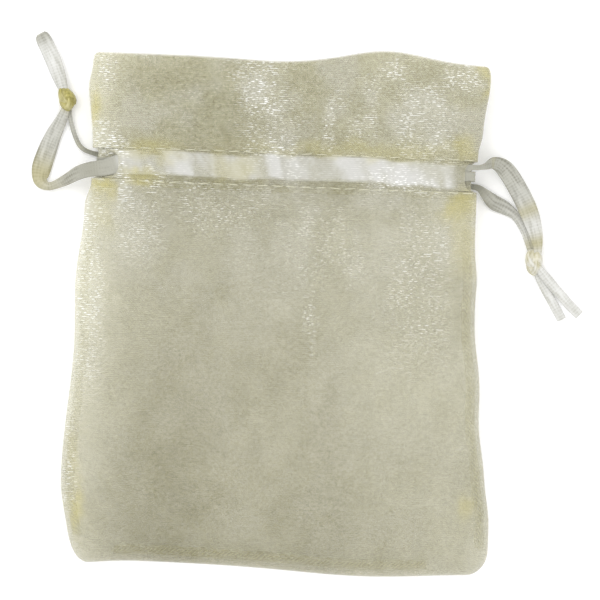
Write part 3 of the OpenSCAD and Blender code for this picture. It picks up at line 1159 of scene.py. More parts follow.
class StitchTree:
    """A Geometry Nodes tree that sews stitches along a line."""

    INPUTS = (
        ("Pitch", "NodeSocketFloat"),
        ("Stitch Length", "NodeSocketFloat"),
        ("Thread Width", "NodeSocketFloat"),
        ("Slant", "NodeSocketFloat"),
        ("Wander", "NodeSocketFloat"),
        ("Seed", "NodeSocketInt"),
        ("Thread", "NodeSocketMaterial"),
    )
    WANDER = 0.09

    def __init__(self) -> None:
        """Build the tree."""
        self.tree = bpy.data.node_groups.new("sew_stitches", "GeometryNodeTree")
        face = self.tree.interface
        face.new_socket("Geometry", in_out="INPUT", socket_type="NodeSocketGeometry")
        self.keys = {
            name: face.new_socket(name, in_out="INPUT", socket_type=kind).identifier
            for name, kind in self.INPUTS
        }
        face.new_socket("Geometry", in_out="OUTPUT", socket_type="NodeSocketGeometry")
        nodes, links = self.tree.nodes, self.tree.links
        given, result = nodes.new("NodeGroupInput"), nodes.new("NodeGroupOutput")
        # Where the stitches go: evenly spaced points along the line
        line = nodes.new("GeometryNodeMeshToCurve")
        spots = nodes.new("GeometryNodeCurveToPoints")
        spots.mode = "LENGTH"
        links.new(given.outputs["Geometry"], line.inputs["Mesh"])
        links.new(line.outputs["Curve"], spots.inputs["Curve"])
        links.new(given.outputs["Pitch"], spots.inputs["Length"])
        # One stitch: a long, slightly flattened bead along Z
        stitch = nodes.new("GeometryNodeMeshUVSphere")
        stitch.inputs["Segments"].default_value = 8
        stitch.inputs["Rings"].default_value = 6
        stitch.inputs["Radius"].default_value = 0.5
        size = nodes.new("ShaderNodeCombineXYZ")
        flat = nodes.new("ShaderNodeMath")
        flat.operation = "MULTIPLY"
        flat.inputs[1].default_value = 0.8
        links.new(given.outputs["Stitch Length"], size.inputs[2])
        links.new(given.outputs["Thread Width"], size.inputs[1])
        links.new(given.outputs["Thread Width"], flat.inputs[0])
        links.new(flat.outputs[0], size.inputs[0])
        shaped = nodes.new("GeometryNodeTransform")
        links.new(stitch.outputs["Mesh"], shaped.inputs["Geometry"])
        links.new(size.outputs[0], shaped.inputs["Scale"])
        # How each stitch is turned: along the line, then slanted, with a small wander
        aim = nodes.new("FunctionNodeAlignRotationToVector")
        aim.axis = "Z"
        links.new(spots.outputs["Tangent"], aim.inputs["Vector"])
        wander = nodes.new("FunctionNodeRandomValue")
        wander.data_type = "FLOAT"
        less = nodes.new("ShaderNodeMath")
        less.operation = "MULTIPLY"
        less.inputs[1].default_value = -1.0
        links.new(given.outputs["Wander"], less.inputs[0])
        links.new(less.outputs[0], wander.inputs[2])
        links.new(given.outputs["Wander"], wander.inputs[3])
        links.new(given.outputs["Seed"], wander.inputs["Seed"])
        swing = nodes.new("ShaderNodeMath")
        swing.operation = "ADD"
        links.new(given.outputs["Slant"], swing.inputs[0])
        links.new(wander.outputs[1], swing.inputs[1])
        angle = nodes.new("ShaderNodeCombineXYZ")
        links.new(swing.outputs[0], angle.inputs[2])
        sown = nodes.new("GeometryNodeInstanceOnPoints")
        links.new(spots.outputs["Points"], sown.inputs["Points"])
        links.new(shaped.outputs["Geometry"], sown.inputs["Instance"])
        swung = nodes.new("FunctionNodeRotateRotation")
        swung.rotation_space = "GLOBAL"
        links.new(aim.outputs["Rotation"], swung.inputs["Rotation"])
        links.new(angle.outputs[0], swung.inputs["Rotate By"])
        links.new(swung.outputs["Rotation"], sown.inputs["Rotation"])
        # All of it made real and dressed
        real = nodes.new("GeometryNodeRealizeInstances")
        smooth = nodes.new("GeometryNodeSetShadeSmooth")
        dressed = nodes.new("GeometryNodeSetMaterial")
        links.new(sown.outputs["Instances"], real.inputs["Geometry"])
        links.new(real.outputs["Geometry"], smooth.inputs["Geometry"])
        links.new(smooth.outputs["Geometry"], dressed.inputs["Geometry"])
        links.new(given.outputs["Thread"], dressed.inputs["Material"])
        links.new(dressed.outputs["Geometry"], result.inputs["Geometry"])

    def sew(
        self, name: str, line: Array, pitch: float, length: float, width: float, slant: float,
        seed: int, thread: bpy.types.Material,
    ) -> bpy.types.Object:
        """Sew stitches along a line and return them as one plain mesh.

        Args:
            name: The piece's name.
            line: The line's points, in millimetres.
            pitch: Distance from one stitch to the next.
            length: Length of one stitch.
            width: Width of the thread.
            slant: Turn of each stitch across the line, in radians.
            seed: Seed of the small wander in their angles.
            thread: The thread's material.

        Returns:
            The new object.
        """
        mesh = bpy.data.meshes.new(name + "_line")
        edges = [(i, i + 1) for i in range(len(line) - 1)]
        mesh.from_pydata((line * MM).tolist(), edges, [])
        obj = bpy.data.objects.new(name, mesh)
        bpy.context.scene.collection.objects.link(obj)
        modifier = obj.modifiers.new("Stitches", "NODES")
        modifier.node_group = self.tree
        values = {
            "Pitch": pitch * MM, "Stitch Length": length * MM, "Thread Width": width * MM,
            "Slant": slant, "Wander": self.WANDER, "Seed": seed, "Thread": thread,
        }
        for key, value in values.items():
            modifier[self.keys[key]] = value
        graph = bpy.context.evaluated_depsgraph_get()
        made = bpy.data.meshes.new_from_object(obj.evaluated_get(graph))
        obj.modifiers.remove(modifier)
        obj.data = made
        made.name = name
        return obj


# --------------------------------------------------------------------------- settling the cloth


@dataclass(frozen=True)
class Gathering:
    """Settles each piece of cloth where it is made, with its place baked into its mesh."""

    shape: PouchShape

    def follow(self, piece: bpy.types.Object, side: Side, heading: bool) -> None:
        """Bake a piece's place into its mesh.

        Args:
            piece: The piece.
            side: Which half it is in; not used.
            heading: True above the casing's upper stitches; not used.
        """
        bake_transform(piece)


# --------------------------------------------------------------------------- the cloth


@dataclass
class Panels:
    """The front and back panels, each cut at the middle and at the upper row of stitches."""

    shape: PouchShape
    gathering: Gathering
    play: Play
    front_cloth: bpy.types.Material
    back_cloth: bpy.types.Material
    columns: int = 58
    closing_rows: int = 18
    middle_rows: int = 34
    hem_rows: int = 25
    heading_rows: int = 16
    fold_steps: tuple[float, float, float] = (0.6, 0.35, 0.15)
    fold_round: float = 0.04

    def grid(
        self, ys: list[float], depths: list[float], face: Face, side: Side, slits: bool
    ) -> Array:
        """Rows of points at given heights and depths.

        Args:
            ys: The heights.
            depths: The depth at each height.
            face: Which panel.
            side: Which half.
            slits: True where the cloth is open at the end of the casing.

        Returns:
            The grid of points.
        """
        s = self.shape
        return np.stack([
            s.row(y, d, face, side, s.slit_at(y, side) if slits else 0.0, self.columns)
            for y, d in zip(ys, depths)
        ])

    def body_rows(self) -> list[float]:
        """Where the body's rows lie, closer together at the bottom seam and in the casing.

        Returns:
            Their heights, from the bottom seam to the upper stitches.
        """
        s = self.shape
        angles = np.linspace(0, PI / 2, self.closing_rows)
        closing = [s.bottom_y + s.closing_h * (1 - math.cos(a)) for a in angles]
        steps = self.middle_rows
        middle = [mix(closing[-1], s.hem_y, i / steps) for i in range(1, steps)]
        return closing + middle + self.casing_rows()

    def casing_rows(self) -> list[float]:
        """Where the hem's rows lie, closer together at both rows of stitches.

        Returns:
            Their heights, from the hem's edge to the upper stitches.
        """
        s = self.shape
        angles = np.linspace(0, PI, self.hem_rows)
        low = [s.hem_y, (s.hem_y + s.casing_low) / 2]
        return low + [mix(s.casing_low, s.casing_top, (1 - math.cos(a)) / 2) for a in angles]

    def body(self, face: Face, side: Side) -> bpy.types.Object:
        """The cloth below the upper stitches, with the turned-in hem behind the casing.

        Args:
            face: Which panel.
            side: Which half.

        Returns:
            The piece.
        """
        s = self.shape
        ys = self.body_rows()
        outer = (
            self.grid(ys, [0.0] * len(ys), face, side, True),
            self.grid(ys, [s.cloth_t] * len(ys), face, side, True),
        )
        hem = self.casing_rows()
        inner = (
            self.grid(hem, [s.cloth_t + s.gap_at(y) for y in hem], face, side, False),
            self.grid(hem, [2 * s.cloth_t + s.gap_at(y) for y in hem], face, side, False),
        )
        points, faces = joined([outer, inner])
        return new_piece(f"{face.name.lower()}_{side.name.lower()}_body_cloth", points, faces)

    def heading(self, face: Face, side: Side) -> bpy.types.Object:
        """The cloth above the upper stitches, folded over at the mouth.

        Args:
            face: Which panel.
            side: Which half.

        Returns:
            The piece.
        """
        s = self.shape
        start, *others = self.fold_steps
        count = self.heading_rows
        rise = [mix(s.casing_top, s.top_y - start, i / count) for i in range(count + 1)]
        rise += [s.top_y - step for step in others]
        # Up the outer face, over the fold and down again, and the same way inside the cloth
        inner_depth = s.cloth_t + s.layer_gap
        full_depth = inner_depth + s.cloth_t
        outside = rise + [s.top_y, s.top_y] + rise[::-1]
        depth_out = [0.0] * len(rise) + [self.fold_round, full_depth - self.fold_round]
        depth_out += [full_depth] * len(rise)
        fold_y = s.top_y - s.cloth_t
        low_rise = [min(y, fold_y) for y in rise]
        inside = low_rise + [fold_y, fold_y] + low_rise[::-1]
        depth_in = [s.cloth_t] * (len(rise) + 1) + [inner_depth] * (len(rise) + 1)
        near = self.grid(outside, depth_out, face, side, False)
        far = self.grid(inside, depth_in, face, side, False)
        points, faces = joined([(near, far)])
        return new_piece(f"{face.name.lower()}_{side.name.lower()}_heading_cloth", points, faces)

    def build(self) -> None:
        for face in Face:
            cloth = self.front_cloth if face is Face.FRONT else self.back_cloth
            node = "front_panel" if face is Face.FRONT else "back_panel"
            for side in Side:
                made = ((self.body(face, side), False), (self.heading(face, side), True))
                for piece, heading in made:
                    piece.data.materials.append(cloth)
                    self.play.paint(piece)
                    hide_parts(node)
                    self.gathering.follow(piece, side, heading)
                    log.info("made %s", piece.name)


@dataclass
class Seams:
    """The turned-in, overlocked allowances of the side and bottom seams."""

    shape: PouchShape
    gathering: Gathering
    cloth: bpy.types.Material
    thread: bpy.types.Material
    stitches: StitchTree
    width: float = 1.6
    thickness: float = 0.24
    columns: int = 6
    thread_lift: float = 0.02
    bite_pitch: float = 0.78
    bite_length: float = 1.35
    bite_thread: float = 0.10
    bite_slant: float = 0.62
    side_inset: float = 0.75
    bottom_half: float = 27.0

    def strip(
        self, name: str, edge: Array, inward: Array, seed: int
    ) -> tuple[bpy.types.Object, Array]:
        """A wavy strip of doubled cloth along an edge.

        Args:
            name: The piece's name.
            edge: The points of the sewn edge.
            inward: The direction across the strip, at each point.
            seed: Where the waves of its raw edge start.

        Returns:
            The strip, and the line that its overlock threads follow.
        """
        count = len(edge)
        steps = range(count)
        wave = np.array(
            [0.09 * math.sin(1.7 * i + seed) + 0.06 * math.sin(0.61 * i + 2 * seed) for i in steps]
        )
        curl = np.array([0.10 * math.sin(0.9 * i + seed) for i in steps])
        top = np.zeros((count, self.columns, 3))
        low = np.zeros_like(top)
        for j, t in enumerate(np.linspace(0, 1, self.columns)):
            reach = t * (self.width + wave)
            lift = curl * t * t
            half = self.thickness / 2 * (1 - 0.35 * abs(2 * t - 1) ** 3)
            at = edge + inward * reach[:, None]
            top[:, j] = at + np.stack([0 * lift, 0 * lift, lift + half], axis=1)
            low[:, j] = at + np.stack([0 * lift, 0 * lift, lift - half], axis=1)
        points, faces = joined([(top, low)])
        piece = new_piece(name, points, faces)
        piece.data.materials.append(self.cloth)
        raised = (0, 0, self.thread_lift)
        middle = (top[:, 1] + raised + (top[:, -2] + raised)) / 2
        return piece, middle + (0, 0, 0.03)

    def side_line(
        self, side: Side, low: float, high: float, inset: float, count: int
    ) -> tuple[Array, Array]:
        """The sewn edge of a side allowance.

        Args:
            side: Which side.
            low: Height of its lower end.
            high: Height of its upper end.
            inset: Distance in from the pouch's edge.
            count: Number of points.

        Returns:
            The points of the edge, and the way across the allowance at each.
        """
        s = self.shape
        ys = np.linspace(low, high, count)
        x = side.value * (s.half_w(ys, side) - inset)
        edge = np.stack([x, s.wavy_y(ys, x), s.seam_z(ys)], axis=1)
        inward = np.tile([-side.value, 0.0, 0.0], (count, 1))
        return edge, inward

    def overlock(self, name: str, line: Array, seed: int) -> bpy.types.Object:
        """The slanted threads that bind a raw edge.

        Args:
            name: The piece's name.
            line: The line that they follow.
            seed: Seed of the small wander in their angles.

        Returns:
            The piece.
        """
        piece = self.stitches.sew(
            name, line, self.bite_pitch, self.bite_length, self.bite_thread, self.bite_slant,
            seed, self.thread,
        )
        return piece

    def build(self) -> None:
        """Build the five allowances and their threads."""
        s = self.shape
        heading_inset = 2 * s.cloth_t + s.layer_gap + 0.3
        for side in Side:
            for place in ("side", "heading"):
                name = f"{side.name.lower()}_{place}_seam"
                if place == "heading":
                    ends = s.casing_top + 1, s.top_y - 1.6
                    edge, inward = self.side_line(side, *ends, heading_inset, 30)
                else:
                    ends = s.bottom_y + 4.6, s.hem_y - 0.4
                    edge, inward = self.side_line(side, *ends, self.side_inset, 110)
                piece, line = self.strip(name + "_allowance", edge, inward, 2 + side.value)
                threads = self.overlock(name + "_overlock", line, 11 + side.value)
                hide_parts(name)
                self.gathering.follow(piece, side, place == "heading")
                self.gathering.follow(threads, side, place == "heading")
                log.info("made %s", piece.name)
        xs = np.linspace(-self.bottom_half, self.bottom_half, 100)
        ys = np.full_like(xs, s.bottom_y + 1.2)
        zs = np.full_like(xs, s.seam_z(s.bottom_y))
        edge = np.stack([xs, s.wavy_y(ys, xs), zs], axis=1)
        inward = np.tile([0.0, 1.0, 0.0], (len(xs), 1))
        piece, line = self.strip("bottom_seam_allowance", edge, inward, 5)
        threads = self.overlock("bottom_seam_overlock", line, 17)
        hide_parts("bottom_seam")
        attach(piece, "pouch")
        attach(threads, "pouch")
        log.info("made %s", piece.name)


@dataclass
class Stitching:
    """The two rows of lockstitch that make the casing, on each panel."""

    shape: PouchShape
    gathering: Gathering
    thread: bpy.types.Material
    stitches: StitchTree
    stitch_length: float = 1.9
    thread_width: float = 0.13
    margin: float = 1.6
    points: int = 60

    def line(self, y: float, face: Face, side: Side) -> Array:
        """The line of one row on one half of a panel.

        Args:
            y: Height of the row.
            face: Which panel.
            side: Which half.

        Returns:
            The points on the cloth, in millimetres.
        """
        s = self.shape
        xs = side.value * np.linspace(s.stitch_pitch / 2, s.end_x - self.margin, self.points)
        # On the back the stitches show inside the casing's facing
        depth, lift = (0.0, 0.03) if face is Face.FRONT else (2 * s.cloth_t + s.layer_gap, 0.05)
        zs = np.array([s.surface_z(x, y, depth, face) + lift for x in xs])
        return np.stack([xs, np.full_like(xs, y), zs], axis=1)

    def build(self) -> None:
        """Build the stitches, each row in two halves."""
        s = self.shape
        rows = (("upper", s.casing_top, 20), ("lower", s.casing_low, 40))
        for face in Face:
            for place, y, seed in rows:
                for side in Side:
                    name = f"{face.name.lower()}_{place}_{side.name.lower()}_stitches"
                    piece = self.stitches.sew(
                        name, self.line(y, face, side), s.stitch_pitch, self.stitch_length,
                        self.thread_width, 0.0, seed + 3 + 7 * side.value, self.thread,
                    )
                    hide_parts(f"{face.name.lower()}_{place}_stitching")
                    self.gathering.follow(piece, side, False)
                    log.info("made %s", piece.name)


# --------------------------------------------------------------------------- the drawstrings

# Places on a ribbon's way outside the casing, from the middle of the casing's end: X, Y, Z, the
# ribbon's width there and the direction of its width in degrees
Place = tuple[float, float, float, float, float]
Route = list[Place]

LEFT_LOOP: Route = [
    (-4.95, 11.0, 1.2, 1.1, 162),
    (-4.9, 9.6, 1.3, 1.3, 162), (-5.6, 7.4, 0.9, 2.0, 158), (-7.0, 4.4, 0.5, 2.8, 157),
    (-8.1, 1.2, 0.4, 3.3, 160), (-8.8, -1.4, 0.4, 3.3, 172), (-8.8, -3.4, 0.5, 2.4, 205),
    (-7.4, -4.3, 0.8, 1.4, 273), (-5.0, -3.4, 1.8, 1.8, 296), (-2.4, -1.9, 4.4, 2.4, 290),
    (-0.3, -1.2, 6.3, 2.6, 280),
]
LEFT_RETURN: Route = [
    (0.1, 1.7, 0.6, 0.8, 262), (-1.4, 2.2, 0.8, 0.8, 251), (-2.5, 3.2, 0.7, 0.8, 214),
    (-3.5, 5.4, 0.5, 0.8, 200), (-4.1, 7.6, 0.5, 0.8, 192), (-4.4, 9.5, 0.5, 0.8, 189),
    (-4.7, 11.0, 0.9, 0.8, 186),
]
RIGHT_LOOP: Route = [
    (10.8, -13.8, 1.4, 1.1, 190),
    (11.0, -12.2, 1.7, 1.4, 190), (10.5, -9.2, 1.3, 2.4, 195), (9.2, -5.6, 1.3, 3.2, 204),
    (7.2, -1.8, 1.5, 3.3, 211), (4.8, 1.6, 1.9, 3.1, 224), (2.8, 2.6, 2.9, 2.2, 262),
    (1.4, 2.0, 4.4, 1.2, 280), (0.2, 1.7, 5.7, 0.9, 273),
]
RIGHT_RETURN: Route = [
    (0.3, -1.75, 0.9, 1.1, 262), (1.6, -2.8, 1.1, 1.8, 240), (3.1, -4.1, 0.7, 2.6, 241),
    (5.0, -5.0, 0.4, 2.4, 242), (6.9, -6.3, 0.3, 1.6, 223), (8.6, -8.9, 0.3, 1.4, 207),
    (9.8, -12.0, 0.6, 1.3, 201), (10.3, -13.6, 0.9, 1.0, 198),
]
LEFT_TAILS: dict[str, Route] = {
    "upper": [
        (-5.1, 11.2, 1.3, 1.2, 20), (-5.4, 12.4, 1.5, 1.5, 20), (-6.2, 14.6, 1.4, 2.2, 22),
        (-7.4, 17.6, 1.2, 2.6, 23), (-8.8, 20.2, 1.1, 2.7, 24), (-9.5, 21.5, 1.2, 2.4, 24),
        (-9.8, 22.0, 1.2, 1.5, 24),
    ],
    "lower": [
        (-5.1, 11.2, 1.0, 1.2, 20), (-5.5, 12.4, 0.9, 1.5, 20), (-6.4, 14.6, 0.7, 2.2, 22),
        (-7.6, 17.6, 0.4, 2.6, 23), (-8.7, 19.8, 0.3, 2.4, 24), (-9.1, 20.6, 0.3, 1.8, 24),
    ],
}
RIGHT_TAILS: dict[str, Route] = {
    "upper": [
        (10.8, -14.5, 1.4, 1.2, 216), (11.4, -15.4, 1.5, 1.4, 220), (12.8, -17.0, 1.2, 1.7, 222),
        (14.8, -19.2, 0.8, 1.7, 223), (16.9, -21.4, 0.5, 1.7, 223), (18.6, -23.0, 0.4, 1.7, 224),
    ],
    "lower": [
        (10.7, -14.6, 1.0, 1.2, 207), (11.0, -15.7, 0.9, 1.4, 207), (12.0, -17.8, 0.5, 1.6, 209),
        (13.4, -20.2, 0.3, 1.6, 210), (14.6, -22.2, 0.3, 1.6, 210), (15.6, -23.9, 0.3, 1.6, 210),
    ],
}


@dataclass
class Drawstring:
    """One satin ribbon from its knot through the casing and back, with the knot and two tails."""

    shape: PouchShape
    side: Side
    ribbon_satin: bpy.types.Material
    knot_satin: bpy.types.Material
    ribbon_w: float = 3.4
    turn_w: float = 1.7
    width_direction: float = 270.0
    steps: int = 10
    side_bulge: float = 0.35
    crease_gain: float = 1.3
    tip_x: float = -42.9
    tip_y: float = 45.9
    leg_shares: tuple[float, ...] = (0, 0.1, 0.3, 0.5, 0.7, 0.9, 1)
    turn_insets: tuple[float, ...] = (1.5, 0.5, 0.1)
    straight_margin: float = 5.5

    @property
    def creases(self) -> tuple[tuple[float, float, float], ...]:
        """Places where the ribbon is creased, which get darker, yellower painted shade.

        Returns:
            Their X and Y from the middle of the casing's end, and their reach.
        """
        if self.side is Side.LEFT:
            return (-8.9, -2.4, 3.2), (-4.9, 9.8, 1.0)
        return (10.4, -11.0, 1.4), (9.8, -5.0, 1.3)

    @property
    def label(self) -> str:
        """The side's name."""
        return self.side.name.lower()

    @property
    def body(self) -> str:
        """The CAD body that all of it rides on."""
        return f"{self.label}_drawstring"

    @property
    def depths(self) -> tuple[float, float]:
        """Depths of the two ribbons below the casing's outer face.

        Returns:
            The outer ribbon's and the inner ribbon's.
        """
        s = self.shape
        space = (s.casing_gap - 2 * s.ribbon_t) / 3
        outer = s.cloth_t + space + s.ribbon_t / 2
        return outer, outer + space + s.ribbon_t

    def outside(self, points: Route) -> Route:
        """Move places outside the casing into the object's frame.

        Args:
            points: The places, from the middle of the casing's end.

        Returns:
            The moved places.
        """
        s = self.shape
        end_x = self.side.value * s.end_x
        return [(end_x + x, s.casing_y + y, z, w, a) for x, y, z, w, a in points]

    def turn(self, depth: float) -> Route:
        """The fold of the ribbon round the far side of the pouch.

        Args:
            depth: Depth of the ribbon below the casing's outer face.

        Returns:
            Its places, from the front to the back.
        """
        s = self.shape
        far = -self.side.value
        y = s.casing_y + 0.1

        def wall(inset: float, face: Face) -> Place:
            """A place of the fold on one panel.

            Args:
                inset: Distance from the end of the casing.
                face: Which panel.

            Returns:
                The place.
            """
            n, seam, rise = s.section(y, face)
            share = 1 - inset / s.end_x
            stand = (rise - s.seam_gap - depth) * (1 - share**n) ** (1 / n)
            z = seam + face.value * (s.seam_gap + stand)
            return far * (s.end_x - depth) * share, y, z, self.turn_w, self.width_direction

        front = [wall(inset, Face.FRONT) for inset in self.turn_insets]
        back = [wall(inset, Face.BACK) for inset in self.turn_insets[::-1]]
        middle_x = far * (s.end_x - depth)
        middle = (middle_x, y, float(s.seam_z(y)), self.turn_w, self.width_direction)
        return [*front, middle, *back]

    def leg(self, x0: float, x1: float, z: float) -> Route:
        """A straight leg in the casing.

        Args:
            x0: Where it starts.
            x1: Where it ends.
            z: Its height.

        Returns:
            Its places.
        """
        y, w, a = self.shape.casing_y, self.ribbon_w, self.width_direction
        return [(mix(x0, x1, share), y, z, w, a) for share in self.leg_shares]

    def casing_way(self, depth: float) -> Route:
        """The ribbon's way in the casing: across the front, round the far side and back.

        Args:
            depth: Its depth below the casing's outer face.

        Returns:
            Its places.
        """
        s = self.shape
        near = self.side.value * (s.end_x - self.straight_margin)
        front_z = float(s.crown_z(s.casing_y)) - depth
        return self.leg(near, -near, front_z) + self.turn(depth) + self.leg(-near, near, depth)

    def route(self) -> Route:
        """The whole way of the ribbon.

        Returns:
            Its places, from its knot and back to it.
        """
        s = self.shape
        outer, inner = self.depths
        top, y, x = float(s.crown_z(s.casing_y)), s.casing_y, s.end_x
        if self.side is Side.LEFT:
            enter = [(-x + 2.2, y - 0.8, top - outer + 0.05, 2.8, 272.0)]
            leave = [(-x + 2.4, y + 1.2, outer, 1.4, 262.0)]
            way = enter + self.casing_way(outer) + leave
            return self.outside(LEFT_LOOP) + way + self.outside(LEFT_RETURN)
        enter = [(x - 1.6, y + 1.5, top - inner - 0.05, 1.2, 270.0)]
        leave = [(x - 1.8, y - 1.4, inner, 1.2, 265.0)]
        way = enter + self.casing_way(inner) + leave
        return self.outside(RIGHT_LOOP) + way + self.outside(RIGHT_RETURN)

    def smooth(self, points: Route) -> Array:
        """A smooth curve through the places of a route.

        Args:
            points: The places.

        Returns:
            The points of the curve, with their widths and directions.
        """
        p = np.array(points)
        last = len(p) - 1
        out = []
        for i in range(last):
            a, b, c, d = p[max(0, i - 1)], p[i], p[i + 1], p[min(last, i + 2)]
            for t in np.arange(self.steps) / self.steps:
                slope, curve, twist = c - a, 2 * a - 5 * b + 4 * c - d, 3 * b - a - 3 * c + d
                out.append(0.5 * (2 * b + slope * t + curve * t**2 + twist * t**3))
        out.append(p[-1])
        return np.array(out)

    def sweep(self, name: str, curve: Array, curl: float) -> bpy.types.Object:
        """Sweep a flat ribbon along a curve, with a UV map in millimetres and a mark of its folds.

        Args:
            name: The piece's name.
            curve: Places, width and direction of the width.
            curl: How far the ribbon is cupped outside the casing, as a share of its width.

        Returns:
            The piece.
        """
        s = self.shape
        at, width, turn = curve[:, :3], curve[:, 3], np.radians(curve[:, 4])
        ahead = np.gradient(at, axis=0)
        ahead /= np.linalg.norm(ahead, axis=1)[:, None]
        across = np.stack([np.cos(turn), np.sin(turn), 0 * turn], axis=1)
        across -= (across * ahead).sum(1)[:, None] * ahead
        across /= np.linalg.norm(across, axis=1)[:, None]
        up = np.cross(ahead, across)
        run = np.concatenate([[0], np.cumsum(np.linalg.norm(np.diff(at, axis=0), axis=1))])
        # 1 outside the casing and 0 in it, then how narrow the ribbon is drawn together
        free = ease((np.abs(at[:, 0]) - s.end_x - 0.5) / 3.0)
        slim = 1 - width / self.ribbon_w
        fold, dull = self.fold_marks(at, ahead, run, slim, free), self.dull_marks(at)
        flat = np.linspace(-1, 1, 9) * 0.96
        edge = self.side_bulge
        ring = [(u, 1.0) for u in flat] + [(1.0, edge), (1.0, -edge)]
        ring += [(-u, -1.0) for u in flat] + [(-1.0, -edge), (-1.0, edge)]
        thick = s.ribbon_t / 2 * (1 + 0.7 * np.clip(slim, 0, 1) * free)
        cup = curl * width * free
        points, marks = [], []
        for i in range(len(at)):
            for u, v in ring:
                crinkle = free[i] * 0.05 * math.sin(9 * u + 0.6 * run[i]) * slim[i]
                lift = v * thick[i] + cup[i] * (u * u - 0.4) + crinkle
                points.append(at[i] + across[i] * u * width[i] / 2 + up[i] * lift)
                marks.append((run[i], u * width[i] / 2, fold[i], dull[i], 1 - free[i]))
        sides = len(ring)
        faces = []
        for i in range(len(at) - 1):
            for j in range(sides):
                a, b = i * sides + j, i * sides + (j + 1) % sides
                faces.append([a, b, b + sides, a + sides])
        faces.append(list(range(sides))[::-1])
        faces.append([(len(at) - 1) * sides + j for j in range(sides)])
        piece = new_piece(name, np.array(points), faces, 55.0)
        self.mark(piece, marks)
        return piece

    def fold_marks(
        self, at: Array, ahead: Array, run: Array, slim: Array, free: Array
    ) -> Array:
        """How folded the ribbon is, and so how much darker, yellower painted shade it gets.

        Args:
            at: The ribbon's middle line.
            ahead: Its direction at each point.
            run: Length up to each point.
            slim: How narrow it is drawn together.
            free: How far it is out of the casing.

        Returns:
            A value from 0 to 1 at each point.
        """
        turned = np.linalg.norm(np.gradient(ahead, axis=0), axis=1)
        bent = turned / np.maximum(1e-6, np.gradient(run))
        fold = np.clip((bent + slim * 0.45 - 0.45) * self.crease_gain, 0, 1) * free
        for x, y, reach in self.creases:
            aside = at[:, 0] - self.side.value * self.shape.end_x - x
            spot = np.hypot(aside, at[:, 1] - self.shape.casing_y - y)
            fold = np.maximum(fold, bell(spot, 0.0, reach))
        return fold

    def dull_marks(self, at: Array) -> Array:
        """How much painted shade the ribbon gets: near the ends of the casing and at the left
        tails' tips.

        Args:
            at: The ribbon's middle line.

        Returns:
            A value from 0 to 1 at each point.
        """
        s = self.shape
        out = np.abs(at[:, 0]) - s.end_x
        away = np.hypot(out, at[:, 1] - s.casing_y)
        tip = np.hypot(at[:, 0] - self.tip_x, at[:, 1] - self.tip_y)
        dull = ease((out + 5.2) / 1.2) * bell(away, 0.0, 10.5)
        return np.maximum(dull, 0.8 * bell(tip, 0.0, 1.8))

    def mark(self, piece: bpy.types.Object, marks: list[tuple[float, ...]]) -> None:
        """Store a UV map and the marks of folds, painted shade and hidden places on a piece.

        Args:
            piece: The piece.
            marks: Place along, place across, fold, painted shade and inside marks of each point.
        """
        mesh = piece.data
        layer = mesh.uv_layers.new(name="UVMap")
        corner = np.zeros(len(mesh.loops), int)
        mesh.loops.foreach_get("vertex_index", corner)
        table = np.array(marks)
        layer.data.foreach_set("uv", table[corner][:, :2].ravel())
        for name, column in (("fold", 2), ("dull", 3), ("inside", 4)):
            data = mesh.attributes.new(name, "FLOAT", "POINT").data
            data.foreach_set("value", table[:, column].astype(np.float32))

    def knot_strand(self) -> tuple[Array, list, list]:
        """The ribbon's closed overhand turn, as a flattened tube about the origin.

        Returns:
            Its points, faces and marks.
        """
        count, sides = 96, 12
        start = 0.5 if self.side is Side.LEFT else 1.9
        t = np.linspace(0, 2 * PI, count, endpoint=False) + start
        # A trefoil, which is a closed overhand knot
        line = np.stack(
            [np.sin(t) + 2 * np.sin(2 * t), np.cos(t) - 2 * np.cos(2 * t), -np.sin(3 * t)], axis=1
        )
        line = line * (0.42, 0.30, 0.36)
        ahead = np.roll(line, -1, axis=0) - np.roll(line, 1, axis=0)
        ahead /= np.linalg.norm(ahead, axis=1)[:, None]
        out = line - (line * ahead).sum(1)[:, None] * ahead
        out /= np.linalg.norm(out, axis=1)[:, None]
        across = np.cross(ahead, out)
        points, marks, faces = [], [], []
        run, total = 0.0, count * sides
        for i in range(count):
            wide = 0.78 + 0.12 * math.sin(3 * t[i] + 1)
            # How much painted fold shade this part of the knot gets
            creased = 0.5 + 0.5 * math.sin(5 * t[i])
            for j in range(sides):
                a = 2 * PI * j / sides
                flank, bulge = across[i] * math.cos(a) * wide, out[i] * math.sin(a) * 0.42
                points.append(line[i] + flank + bulge)
                marks.append((run, math.cos(a) * 1.1, creased, 0.0, 0.0))
                b, c = i * sides + j, i * sides + (j + 1) % sides
                faces.append([b, c, (c + sides) % total, (b + sides) % total])
            run += float(np.linalg.norm(line[(i + 1) % count] - line[i]))
        return np.array(points), faces, marks

